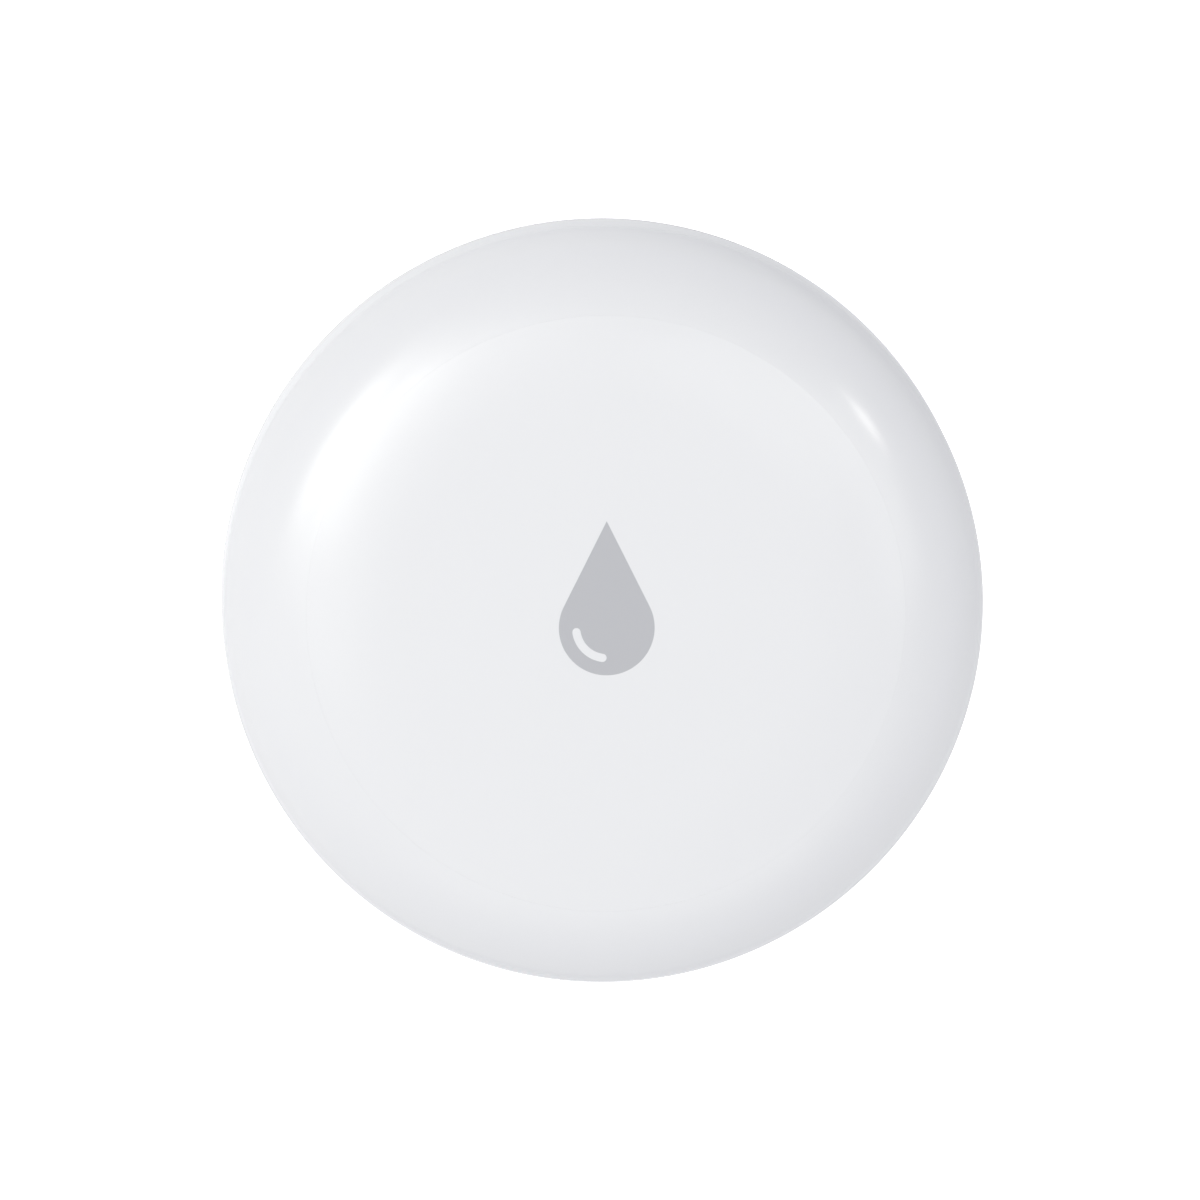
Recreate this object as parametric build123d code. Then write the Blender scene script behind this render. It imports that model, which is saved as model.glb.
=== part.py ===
from build123d import *
import math
import os

# Round battery-powered water leak sensor, standing on the floor it watches.
# Origin: centre of the footprint, on the floor. +Z is up, and +Y is the way the drop points.
# All lengths are millimetres and all angles are degrees.

# Whole sensor
overall_diameter = 50.0
overall_height = 15.0
base_lift = 0.5
seam_height = 3.4
seam_bevel = 0.2
belly_width = 2.6
cut_overrun = 1.0
touch_gap = 0.02

# Top disc, the face that is pressed
shoulder_width = 5.4
shoulder_step_angle = 4.0
shoulder_turn_slope = 48.0
shoulder_edge_width = 1.0
disc_gap = 0.04
disc_centre_radius = 13.0
disc_centre_curvature = 300.0
disc_edge_slope = 15.0
disc_edge_thickness = 1.3
disc_recess_wall = 0.75
disc_recess_depth = 0.75
disc_rib_count = 6
disc_rib_width = 0.8
disc_post_radius = 1.8
disc_post_length = 1.0
disc_post_gap = 0.03

# Snap hooks that hold the disc down in the shell
hook_count = 4
hook_width_angle = 14.0
hook_stem_thickness = 0.9
hook_clearance = 0.15
hook_reach = 0.6
hook_height = 0.7
hook_play = 0.05

# Water drop on the disc
drop_radius = 3.13
drop_tip_distance = 7.0
drop_sink = 0.77
drop_depth = 0.2
drop_fit = 0.02
shine_radius = 2.0
shine_width = 0.55
shine_start_angle = 188.0
shine_turn_angle = 74.0

# Soft seal under the disc, and the shell's ledge that carries it
button_seal_height = 0.6
button_seal_inset = 0.7
button_seal_width = 1.6
ledge_thickness = 0.9
ledge_width = 2.7

# Inside of the top shell
shell_wall = 2.7
gusset_count = 8
gusset_width = 1.0
gusset_reach = 1.7
gusset_height_share = 0.45

# Tongue of the base, which snaps into the top shell
tongue_gap = 0.1
tongue_height = 2.6
tongue_thickness = 1.3
snap_count = 6
snap_angle = 16.0
snap_reach = 0.35
snap_height = 0.55
snap_drop = 0.5
snap_clearance = 0.08
snap_side_clearance_angle = 1.0
housing_seal_rise = 0.4
housing_seal_height = 0.7
housing_seal_width = 0.72
housing_seal_gap = 0.04

# Floor and well of the base
floor_thickness = 1.4
well_wall = 1.4
well_root = 1.3
floor_rib_count = 4
floor_rib_width = 0.8
floor_rib_height = 1.3
floor_rib_first_angle = 45.0
fuse_overlap = 0.15

# Moulded feet
foot_radius = 1.5
foot_bevel = 0.15

# Probe screws, their seals and their threaded inserts
probe_head_radius = 1.9
probe_head_height = 0.8
probe_head_crown = 0.35
probe_head_flat_radius = 1.15
probe_shank_radius = 1.0
probe_shank_length = 3.7
probe_recess_span = 1.8
probe_recess_width = 0.42
probe_recess_depth = 0.5
probe_counterbore_gap = 0.2
probe_seal_thickness = 0.35
probe_seal_clearance = 0.08
probe_hole_clearance = 0.06
insert_wall = 0.6
insert_length = 2.7
insert_floor = 0.3
insert_stand = 0.1
insert_groove_depth = 0.2
insert_groove_width = 0.5
probe_boss_wall = 1.0

# Battery cover, which a coin turns
cover_recess = 0.15
cover_flange_thickness = 1.0
cover_centre_thickness = 1.4
cover_edge_gap = 0.15
cover_flange_width = 2.25
cover_edge_bevel = 0.25
cover_ring_gap = 0.2
cover_ring_thickness = 1.2
coin_slot_length = 15.0
coin_slot_width = 1.8
coin_slot_depth = 0.8
cover_mark_inset = 1.95
cover_mark_size = 0.75
mark_depth = 0.2
mark_dot_radius = 0.55
mark_ring_width = 0.22
mark_inset = 1.3
locked_mark_angle = 60.0

# Quick thread between cover and well: three lugs over three ramps
lug_count = 3
thread_lead = 6.0
lug_angle = 22.0
lug_reach = 0.9
lug_height = 0.75
lug_top_gap = 0.02
lug_tip_clearance = 0.2
lug_rest_clearance = 0.12
ramp_angle = 34.0
ramp_height = 0.75
ramp_tip_clearance = 0.15
ramp_stop_angle = 3.5
ramp_stop_gap_angle = 1.5
ramp_seal_gap = 0.1

# Seal ring that comes out with the cover
cover_seal_height = 0.9
cover_seal_gap = 0.04
cover_seal_round = 0.25

# Coin cell
cell_edge_distance = 15.0
cell_height = 3.2
cell_rest_gap = 0.1
cell_can_wall = 0.3
cell_can_round = 0.4
cell_crimp_height = 2.95
cell_crimp_slope = 0.35
cell_crimp_inset = 0.6
cell_cap_inset = 1.3
cell_cap_round = 0.3
cell_cap_wall = 0.25
cell_part_gap = 0.04
cell_contact_room = 1.0
cell_sign_span = 3.0
cell_sign_width = 0.6
cell_sign_depth = 0.06

# Battery holder under the board
holder_gap = 0.2
holder_wall = 1.0
holder_lift = 0.4
holder_window_width = 4.8
holder_peg_count = 3
holder_peg_radius = 0.4
holder_peg_length = 0.7
holder_peg_first_angle = 30.0
holder_peg_clearance = 0.06

# Sheet-metal contacts
leaf_thickness = 0.2
cell_contact_width = 4.0
cell_contact_pad = 2.6
cell_contact_inset = 2.0
cell_contact_toe = 0.8
cell_contact_tail = 1.6
cell_contact_tail_rise = 0.45
side_contact_tab = 2.8
side_contact_depth = 2.7
side_contact_flare = 0.35
probe_contact_width = 2.4
probe_contact_start = 2.6
probe_contact_pad = 1.2
probe_contact_toe = 0.4
probe_contact_tail = 0.9
probe_contact_tail_rise = 0.5

# Circuit board and its screws
board_edge_gap = 0.5
board_thickness = 1.0
board_screw_count = 3
board_screw_first_angle = 90.0
board_boss_radius = 2.0
board_screw_shank_radius = 0.8
board_screw_length = 2.9
board_screw_head_radius = 1.5
board_screw_head_height = 0.9
board_screw_hole_clearance = 0.15
board_screw_pilot_gap = 0.02
board_screw_tip_room = 0.3
board_screw_slot_span = 1.9
board_screw_slot_width = 0.4
board_screw_slot_depth = 0.45

# Push switch in the middle of the board
switch_width = 6.0
switch_floor_share = 0.3
switch_plate_thickness = 0.25
switch_cavity_radius = 2.1
switch_stud_radius = 0.4
switch_stud_inset = 0.75
switch_stud_rise = 0.1
switch_stud_clearance = 0.05
switch_plate_hole_radius = 1.8
plunger_radius = 1.65
plunger_flange_radius = 2.0
plunger_height = 0.8
plunger_round = 0.2
dome_radius = 1.6
dome_rise = 0.34
dome_thickness = 0.08
dome_clearance = 0.04
switch_leg_pitch = 4.5
switch_leg_width = 0.7
switch_leg_thickness = 0.3
switch_leg_height = 0.9
switch_leg_shoulder = 0.45
switch_leg_foot = 1.0

# Parts on the board: length, width and height, then distance from the board's edge and direction
radio_chip_size = (6.0, 6.0, 0.9)
radio_chip_inset = 5.95
radio_chip_angle = 169.6
radio_pin_count = 10
radio_pin_width = 0.25
radio_pin_length = 0.4
radio_pin_height = 0.2
crystal_size = (3.2, 2.5, 0.8)
crystal_inset = 7.0
crystal_angle = 200.0
crystal_lid_inset = 0.25
crystal_lid_height = 0.15
flash_memory_size = (5.0, 4.0, 1.5)
flash_memory_inset = 7.85
flash_memory_angle = -23.5
flash_leg_count = 4
flash_leg_pitch = 1.27
flash_leg_width = 0.4
flash_leg_height = 0.6
flash_leg_reach = 0.95
flash_leg_thickness = 0.15
regulator_size = (2.9, 1.4, 1.1)
regulator_inset = 7.55
regulator_angle = 13.5
regulator_leg_reach = 0.55
regulator_leg_width = 0.4
regulator_leg_pitch = 1.9
regulator_leg_height = 0.15
buffer_capacitor_size = (3.5, 2.8, 1.9)
buffer_capacitor_inset = 7.25
buffer_capacitor_angle = 55.2
led_size = (1.6, 0.8, 0.5)
led_inset = 9.9
led_angle = 90.0
led_lens_inset = 0.3
led_lens_height = 0.2
capacitor_size = (1.0, 0.5, 0.5)
resistor_size = (1.6, 0.8, 0.45)
small_part_count = 5
small_part_pitch = 1.4
capacitor_row_inset = 7.3
capacitor_row_angles = (136.0, -49.0)
resistor_row_inset = 9.4
resistor_row_angles = (235.0, 41.0)
small_part_bevel = 0.06
chip_bevel = 0.12

# Printed aerial along the board's edge
aerial_width = 0.8
aerial_thickness = 0.06
aerial_turn_count = 6
aerial_pitch = 2.0
aerial_depth = 2.6
aerial_inset = 7.4
aerial_feed = 1.6

# Worked out once from the sizes above
outer_radius = overall_diameter / 2
disc_radius = outer_radius - shoulder_width
disc_hole_radius = disc_radius + disc_gap
shell_bore_radius = outer_radius - shell_wall
ledge_inner_radius = disc_hole_radius - ledge_width
hook_outer_radius = ledge_inner_radius - hook_clearance
hook_inner_radius = hook_outer_radius - hook_stem_thickness
disc_recess_radius = hook_inner_radius - disc_recess_wall
button_seal_inner_radius = ledge_inner_radius + button_seal_inset
floor_top = base_lift + floor_thickness
tongue_radius = shell_bore_radius - tongue_gap
tongue_inner_radius = tongue_radius - tongue_thickness
tongue_top = seam_height + tongue_height
snap_top = tongue_top - snap_drop
cover_outside = base_lift + cover_recess
cover_seat = cover_outside + cover_flange_thickness
cover_inside = cover_outside + cover_centre_thickness
cell_radius = outer_radius - cell_edge_distance
cell_cap_radius = cell_radius - cell_cap_inset
cell_bottom = cover_inside + cell_rest_gap
cell_floor = cell_bottom + cell_can_wall + cell_part_gap
cell_top = cell_bottom + cell_height
holder_inner_radius = cell_radius + holder_gap
holder_radius = holder_inner_radius + holder_wall
holder_bottom = cover_inside + holder_lift
cover_ring_inner_radius = holder_radius + cover_ring_gap
cover_ring_radius = cover_ring_inner_radius + cover_ring_thickness
cover_radius = cover_ring_radius + cover_flange_width
counterbore_radius = cover_radius + cover_edge_gap
well_bore_radius = cover_ring_radius + lug_reach + lug_tip_clearance
well_radius = well_bore_radius + well_wall
mark_circle_radius = counterbore_radius + mark_inset
fixing_circle_radius = (well_radius + tongue_inner_radius) / 2
thread_rise_per_radian = thread_lead / (2 * math.pi)
cover_seal_top = cover_seat + cover_seal_gap + cover_seal_height
ramp_bottom = cover_seal_top + ramp_seal_gap + thread_rise_per_radian * math.radians(ramp_angle / 2)
ramp_top = ramp_bottom + ramp_height
lug_bottom = ramp_top + lug_rest_clearance
lug_top = lug_bottom + lug_height
cover_ring_top = lug_top + lug_top_gap + thread_rise_per_radian * math.radians(lug_angle / 2)
board_underside = cell_top + cell_contact_room
board_top = board_underside + board_thickness
board_radius = tongue_inner_radius - board_edge_gap
probe_counterbore_radius = probe_head_radius + probe_counterbore_gap
probe_counterbore_top = probe_head_height + probe_seal_thickness
insert_radius = probe_shank_radius + insert_wall
insert_bottom = floor_top + insert_floor
insert_top = insert_bottom + insert_length


# Outline shared by the pieces

start_sine = disc_centre_radius / disc_centre_curvature
edge_sine = math.sin(math.radians(disc_edge_slope))
disc_edge_curvature = (disc_radius - disc_centre_radius) / (edge_sine - start_sine)


def dome_drop(radius):
    """How far the top face lies below its centre at a radius: a flat middle and a rounder edge."""
    if radius <= disc_centre_radius:
        return disc_centre_curvature - math.sqrt(disc_centre_curvature**2 - radius**2)
    sine = start_sine + (radius - disc_centre_radius) / disc_edge_curvature
    middle = disc_centre_curvature * (1 - math.sqrt(1 - start_sine**2))
    return middle + disc_edge_curvature * (math.sqrt(1 - start_sine**2) - math.sqrt(1 - sine**2))


crease_height = overall_height - dome_drop(disc_radius)
disc_underside = crease_height - disc_edge_thickness
ledge_top = disc_underside - button_seal_height
ledge_bottom = ledge_top - ledge_thickness
disc_recess_top = disc_underside + disc_recess_depth
plunger_top = disc_recess_top - disc_post_length - disc_post_gap
switch_top = plunger_top - plunger_height
switch_body_top = switch_top - switch_plate_thickness
switch_body_height = switch_body_top - board_top
switch_cavity_floor = board_top + switch_floor_share * switch_body_height
plunger_bottom = switch_cavity_floor + dome_rise + dome_clearance


def side_radius(reach, rise):
    """Radius of an arc that starts along its rise and ends one reach aside."""
    return (reach**2 + rise**2) / (2 * reach)


shoulder_start = math.radians(disc_edge_slope + shoulder_step_angle)
shoulder_turn = math.radians(shoulder_turn_slope)
shoulder_turn_radius = outer_radius - shoulder_edge_width
shoulder_reach = shoulder_turn_radius - disc_radius
shoulder_arc = shoulder_reach / (math.sin(shoulder_turn) - math.sin(shoulder_start))
shoulder_edge_arc = shoulder_edge_width / (1 - math.sin(shoulder_turn))
shoulder_drop = shoulder_arc * (math.cos(shoulder_start) - math.cos(shoulder_turn))
side_top = crease_height - shoulder_drop - shoulder_edge_arc * math.cos(shoulder_turn)
belly_top = seam_height - seam_bevel
belly_arc = side_radius(belly_width, belly_top - base_lift)


def shoulder_point(radius):
    """Point of the shoulder's wide arc at a radius from the axis."""
    sine = math.sin(shoulder_start) + (radius - disc_radius) / shoulder_arc
    drop = shoulder_arc * (math.cos(shoulder_start) - math.sqrt(1 - sine**2))
    return (radius, crease_height - drop)


def shoulder_edge_point(slope):
    """Point of the tight arc that turns the shoulder into the upright side, at a slope."""
    angle = math.radians(slope)
    reach = outer_radius - shoulder_edge_arc * (1 - math.sin(angle))
    return (reach, side_top + shoulder_edge_arc * math.cos(angle))


def belly_point(height):
    """Point of the rounded foot of the side."""
    down = belly_top - height
    return (outer_radius - belly_arc + math.sqrt(belly_arc**2 - down**2), height)


# Small builders

def turned(*edges):
    """Solid of revolution about Z. The edges are drawn as (radius, height) and end to end."""
    return revolve(Plane.XZ * make_face(edges), Axis.Z)


def cylinder(radius, low, high, place=(0, 0)):
    """Upright cylinder between two heights."""
    upright = Cylinder(radius, high - low, align=(Align.CENTER, Align.CENTER, Align.MIN))
    return Pos(place[0], place[1], low) * upright


def ring(inner, outer, low, high, place=(0, 0)):
    """Upright ring between two heights."""
    return cylinder(outer, low, high, place) - cylinder(inner, low - cut_overrun, high + cut_overrun, place)


def block(size, place, low):
    """Upright block that stands on a height."""
    solid = Box(*size, align=(Align.CENTER, Align.CENTER, Align.MIN))
    return Pos(place[0], place[1], low) * solid


def wedge(angle, reach, low, high):
    """Slice of a cylinder, centred on +X, as wide as an angle under a half turn."""
    half = math.radians(angle / 2)
    side = reach / math.cos(half)
    corner = (side * math.cos(half), side * math.sin(half))
    outline = Polyline((0, 0), corner, (corner[0], -corner[1]), close=True)
    return Pos(0, 0, low) * extrude(make_face(outline), high - low)


def ring_slice(inner, outer, low, high, angle):
    """Part of a ring, centred on +X."""
    return ring(inner, outer, low, high) & wedge(angle, outer + cut_overrun, low, high)


def around(piece, count, first_angle=0.0):
    """Copies of a piece evenly about the axis, as a list."""
    step = 360 / count
    return [Rot(0, 0, first_angle + step * number) * piece for number in range(count)]


def on_circle(count, first_angle, radius):
    """Places evenly on a circle."""
    angles = [math.radians(first_angle + 360 / count * number) for number in range(count)]
    return [(radius * math.cos(angle), radius * math.sin(angle)) for angle in angles]


def bent_strip(points, thickness, width):
    """Sheet-metal strip along points in the XZ plane, centred on Y = 0."""
    upper = []
    lower = []
    for number, (x, z) in enumerate(points):
        before = points[max(number - 1, 0)]
        after = points[min(number + 1, len(points) - 1)]
        entry = math.atan2(z - before[1], x - before[0]) if number else None
        leave = math.atan2(after[1] - z, after[0] - x) if number < len(points) - 1 else entry
        entry = leave if entry is None else entry
        middle = (entry + leave) / 2
        half = thickness / 2 / math.cos((leave - entry) / 2)
        upper.append((x - half * math.sin(middle), z + half * math.cos(middle)))
        lower.append((x + half * math.sin(middle), z - half * math.cos(middle)))
    outline = make_face(Polyline(*upper, *reversed(lower), close=True))
    return extrude(Plane.XZ * outline, width / 2, both=True)


def level_circles(body):
    """Round edges of a solid that lie level."""
    return body.edges().filter_by(GeomType.CIRCLE).filter_by(Plane.XY)


def cross(span, width, low, high, place=(0, 0)):
    """Upright cross-shaped bar between two heights."""
    tall = high - low
    return block((span, width, tall), place, low) + block((width, span, tall), place, low)


# Top of the housing

def top_shell():
    """Shoulder ring with the hole that the disc sits in, and the ledge under it."""
    rim = shoulder_point(disc_hole_radius)
    turn = shoulder_point(shoulder_turn_radius)
    middle = shoulder_point((disc_hole_radius + shoulder_turn_radius) / 2)
    edge_middle = shoulder_edge_point((shoulder_turn_slope + 90) / 2)
    body = turned(
        ThreePointArc(rim, middle, turn),
        ThreePointArc(turn, edge_middle, (outer_radius, side_top)),
        Polyline(
            (outer_radius, side_top),
            (outer_radius, seam_height + seam_bevel),
            (outer_radius - seam_bevel, seam_height),
            (shell_bore_radius, seam_height),
            (shell_bore_radius, ledge_bottom),
            (ledge_inner_radius, ledge_bottom),
            (ledge_inner_radius, ledge_top),
            (disc_hole_radius, ledge_top),
            rim,
        ),
    )
    gusset_start = shell_bore_radius - gusset_reach
    gusset_height = gusset_height_share * (ledge_bottom - board_top)
    gusset_size = (gusset_reach + fuse_overlap, gusset_width, gusset_height + fuse_overlap)
    gusset_middle = (gusset_start + gusset_size[0] / 2, 0)
    gusset = block(gusset_size, gusset_middle, ledge_bottom - gusset_height)
    for rib in around(gusset, gusset_count, 180 / gusset_count):
        body += rib
    pocket = ring_slice(
        shell_bore_radius - cut_overrun,
        tongue_radius + snap_reach + snap_clearance,
        snap_top - snap_height - snap_clearance,
        snap_top + snap_clearance,
        snap_angle + 2 * snap_side_clearance_angle,
    )
    for cut in around(pocket, snap_count):
        body -= cut
    return body


def dome_body(radius, low):
    """Everything under the top face, out to a radius and down to a height."""
    start_angle = math.degrees(math.asin(start_sine))
    top = (0, overall_height)
    joint = (disc_centre_radius, overall_height - dome_drop(disc_centre_radius))
    edge_middle = (disc_centre_radius + radius) / 2
    edge = (radius, overall_height - dome_drop(radius))
    centre = (0, overall_height - disc_centre_curvature)
    return turned(
        CenterArc(centre, disc_centre_curvature, 90 - start_angle, start_angle),
        ThreePointArc(joint, (edge_middle, overall_height - dome_drop(edge_middle)), edge),
        Polyline(edge, (radius, low), (0, low), top),
    )


def drop_outline(margin):
    """Outline of the drop: a circle and the two lines that meet at its tip, grown by a margin."""
    radius = drop_radius + margin
    centre_y = -drop_sink
    tip_distance = drop_tip_distance * radius / drop_radius
    lean = math.asin(radius / tip_distance)
    tip = (0, centre_y + tip_distance)
    left = (-radius * math.cos(lean), centre_y + radius * math.sin(lean))
    right = (-left[0], left[1])
    return make_face(
        [
            Polyline(right, tip, left),
            ThreePointArc(left, (0, centre_y - radius), right),
        ]
    )


def shine_outline(margin):
    """Curved highlight inside the drop, shrunk by a margin."""
    half = shine_width / 2 - margin
    start = math.radians(shine_start_angle)
    end = math.radians(shine_start_angle + shine_turn_angle)

    def at(radius, angle):
        return (radius * math.cos(angle), radius * math.sin(angle) - drop_sink)

    def cap(angle, way):
        """Tip of the rounded end of the highlight."""
        centre = at(shine_radius, angle)
        return (centre[0] - way * half * math.sin(angle), centre[1] + way * half * math.cos(angle))

    middle = (start + end) / 2
    inner = shine_radius - half
    outer = shine_radius + half
    return make_face(
        [
            ThreePointArc(at(outer, start), at(outer, middle), at(outer, end)),
            ThreePointArc(at(outer, end), cap(end, 1), at(inner, end)),
            ThreePointArc(at(inner, end), at(inner, middle), at(inner, start)),
            ThreePointArc(at(inner, start), cap(start, -1), at(outer, start)),
        ]
    )


def drop_prism(margin):
    """Upright prism of the drop with its highlight left out."""
    low = overall_height - drop_depth - dome_drop(drop_tip_distance)
    outline = drop_outline(margin) - shine_outline(margin)
    return Pos(0, 0, low) * extrude(outline, drop_depth + cut_overrun)


def button_disc():
    """Top face with its ribs, its centre post over the switch and its snap hooks."""
    body = dome_body(disc_radius, disc_underside)
    body -= cylinder(disc_recess_radius, disc_underside - cut_overrun, disc_recess_top)
    rib_size = (disc_recess_radius + fuse_overlap, disc_rib_width, disc_recess_depth + fuse_overlap)
    rib = block(rib_size, (rib_size[0] / 2, 0), disc_underside)
    for copy in around(rib, disc_rib_count):
        body += copy
    body += cylinder(disc_post_radius, plunger_top + disc_post_gap, disc_recess_top + fuse_overlap)
    lip_top = ledge_bottom - hook_play
    lip_radius = ledge_inner_radius + hook_reach
    hook_bottom = lip_top - hook_height
    stem_top = disc_underside + fuse_overlap
    hook = ring_slice(hook_inner_radius, hook_outer_radius, hook_bottom, stem_top, hook_width_angle)
    hook += ring_slice(hook_inner_radius, lip_radius, hook_bottom, lip_top, hook_width_angle)
    for copy in around(hook, hook_count, 180 / hook_count):
        body += copy
    return body - drop_prism(drop_fit)


def drop_symbol():
    """The grey drop, inlaid flush with the face."""
    return drop_prism(0) & dome_body(disc_radius, disc_underside)


def button_seal():
    """Soft ring that is squeezed between the disc and the ledge."""
    outer = button_seal_inner_radius + button_seal_width
    return ring(button_seal_inner_radius, outer, ledge_top, disc_underside)


# Bottom of the housing

def thread_slab(angle, inner, outer, low, high):
    """Slice of a ring whose top and bottom climb with the thread's lead, centred on +X."""
    middle_radius = (inner + outer) / 2
    slope = math.degrees(math.atan(thread_rise_per_radian / middle_radius))
    span = 2 * (outer + cut_overrun)
    slab = Box(span, span, high - low)
    tilted = Pos(0, 0, (low + high) / 2) * (Rot(slope, 0, 0) * slab)
    reach = high - low + span * math.sin(math.radians(slope))
    return tilted & ring_slice(inner, outer, low - reach, high + reach, angle)


def thread_ramps():
    """Ledges in the well that the cover's lugs slide on, each with a stop."""
    inner = cover_ring_radius + ramp_tip_clearance
    outer = well_bore_radius + fuse_overlap
    ramp = thread_slab(ramp_angle, inner, outer, ramp_bottom, ramp_top)
    stop_middle_angle = lug_angle / 2 + ramp_stop_gap_angle + ramp_stop_angle / 2
    stop_rise = thread_rise_per_radian * math.radians(stop_middle_angle)
    stop_low = ramp_top + stop_rise - ramp_height / 2
    stop_high = ramp_top + stop_rise + lug_height
    stop = Rot(0, 0, stop_middle_angle) * ring_slice(inner, outer, stop_low, stop_high, ramp_stop_angle)
    return around(ramp + stop, lug_count)


def base_profile():
    """Turned body of the base: outside, floor, well for the battery and tongue."""
    middle = belly_point((belly_top + base_lift) / 2)
    return turned(
        ThreePointArc(belly_point(belly_top), middle, belly_point(base_lift)),
        Polyline(
            belly_point(base_lift),
            (counterbore_radius, base_lift),
            (counterbore_radius, cover_seat),
            (well_bore_radius, cover_seat),
            (well_bore_radius, board_underside),
            (well_radius, board_underside),
            (well_radius, floor_top + well_root),
            (well_radius + well_root, floor_top),
            (tongue_inner_radius, floor_top),
            (tongue_inner_radius, tongue_top),
            (tongue_radius, tongue_top),
            (tongue_radius, seam_height),
            (outer_radius - seam_bevel, seam_height),
            (outer_radius, belly_top),
        ),
    )


def base_shell():
    """Lower housing: it carries the board, the probes, the feet and the battery cover."""
    body = base_profile()
    rib_length = tongue_inner_radius - well_radius + 2 * fuse_overlap
    rib_size = (rib_length, floor_rib_width, floor_rib_height + fuse_overlap)
    rib = block(rib_size, ((tongue_inner_radius + well_radius) / 2, 0), floor_top - fuse_overlap)
    for copy in around(rib, floor_rib_count, floor_rib_first_angle):
        body += copy
    for copy in thread_ramps():
        body += copy
    for place in on_circle(board_screw_count, board_screw_first_angle, fixing_circle_radius):
        body += cylinder(board_boss_radius, floor_top - fuse_overlap, board_underside, place)
    boss_radius = insert_radius + probe_boss_wall
    boss_top = insert_top - insert_stand
    for place in on_circle(2, 0, fixing_circle_radius):
        body += cylinder(boss_radius, floor_top - fuse_overlap, boss_top, place)
    for place in on_circle(board_screw_count, board_screw_first_angle, fixing_circle_radius):
        pilot = board_screw_shank_radius + board_screw_pilot_gap
        depth = board_screw_length - board_thickness + board_screw_tip_room
        body -= cylinder(pilot, board_underside - depth, board_underside + cut_overrun, place)
    for place in on_circle(2, 0, fixing_circle_radius):
        hole = probe_shank_radius + probe_hole_clearance
        body -= cylinder(probe_counterbore_radius, base_lift - cut_overrun, probe_counterbore_top, place)
        body -= cylinder(hole, base_lift, insert_top, place)
        body -= cylinder(insert_radius + touch_gap, insert_bottom, insert_top + cut_overrun, place)
    for place in on_circle(2, 90, fixing_circle_radius):
        body += chamfered_foot(place)
    bead = ring_slice(
        tongue_radius - fuse_overlap, tongue_radius + snap_reach, snap_top - snap_height, snap_top, snap_angle
    )
    for copy in around(bead, snap_count):
        body += copy
    groove_low = seam_height + housing_seal_rise
    groove_high = groove_low + housing_seal_height + 2 * housing_seal_gap
    groove_inner = tongue_radius - housing_seal_width
    body -= ring(groove_inner, tongue_radius + cut_overrun, groove_low, groove_high)
    return body - turn_marks()


def chamfered_foot(place):
    """One moulded foot, with its lower edge broken."""
    foot = cylinder(foot_radius, 0, base_lift + fuse_overlap, place)
    lowest = level_circles(foot).sort_by(Axis.Z)[0]
    return chamfer(lowest, foot_bevel)


def unlock_angle():
    """Turn of the cover that takes its lugs off the ends of the ramps."""
    return (lug_angle + ramp_angle) / 2


def turn_marks():
    """Shallow dot for shut and ring for open, in the underside beside the cover."""
    shut, open_ = [
        on_circle(1, angle, mark_circle_radius)[0]
        for angle in (locked_mark_angle, locked_mark_angle - unlock_angle())
    ]
    low = base_lift - cut_overrun
    high = base_lift + mark_depth
    ring_inner = mark_dot_radius - mark_ring_width
    return cylinder(mark_dot_radius, low, high, shut) + ring(ring_inner, mark_dot_radius, low, high, open_)


def housing_seal():
    """Soft ring in the tongue's groove, against the top shell."""
    low = seam_height + housing_seal_rise + housing_seal_gap
    inner = tongue_radius - housing_seal_width + housing_seal_gap
    outer = shell_bore_radius - touch_gap
    return ring(inner, outer, low, low + housing_seal_height)


# Battery cover

def battery_cover():
    """Coin-slot cover: outer plate, ring round the holder and the three lugs."""
    bevel_low = cover_outside + cover_edge_bevel
    body = turned(
        Polyline(
            (0, cover_outside),
            (cover_radius - cover_edge_bevel, cover_outside),
            (cover_radius, bevel_low),
            (cover_radius, cover_seat),
            (cover_ring_radius, cover_seat),
            (cover_ring_radius, cover_ring_top),
            (cover_ring_inner_radius, cover_ring_top),
            (cover_ring_inner_radius, cover_inside),
            (0, cover_inside),
            (0, cover_outside),
        )
    )
    lug_root = cover_ring_radius - fuse_overlap
    lug = thread_slab(lug_angle, lug_root, cover_ring_radius + lug_reach, lug_bottom, lug_top)
    for copy in around(lug, lug_count):
        body += copy
    slot = extrude(SlotOverall(coin_slot_length, coin_slot_width), coin_slot_depth + cut_overrun)
    body -= Pos(0, 0, cover_outside - cut_overrun) * slot
    return body - cover_arrow()


def cover_arrow():
    """Shallow arrow at the cover's edge, which points at the mark for shut."""
    middle = cover_radius - cover_mark_inset
    tip = (middle + cover_mark_size, 0)
    left = (middle - cover_mark_size, cover_mark_size)
    right = (left[0], -left[1])
    triangle = extrude(make_face(Polyline(tip, left, right, close=True)), mark_depth + cut_overrun)
    return Rot(0, 0, locked_mark_angle) * (Pos(0, 0, cover_outside - cut_overrun) * triangle)


def battery_cover_seal():
    """Soft ring at the root of the cover's ring, which seals against the well."""
    low = cover_seat + cover_seal_gap
    seal = ring(
        cover_ring_radius + cover_seal_gap,
        well_bore_radius - cover_seal_gap,
        low,
        low + cover_seal_height,
    )
    return fillet(level_circles(seal), cover_seal_round)


# Battery and its holder

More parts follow.
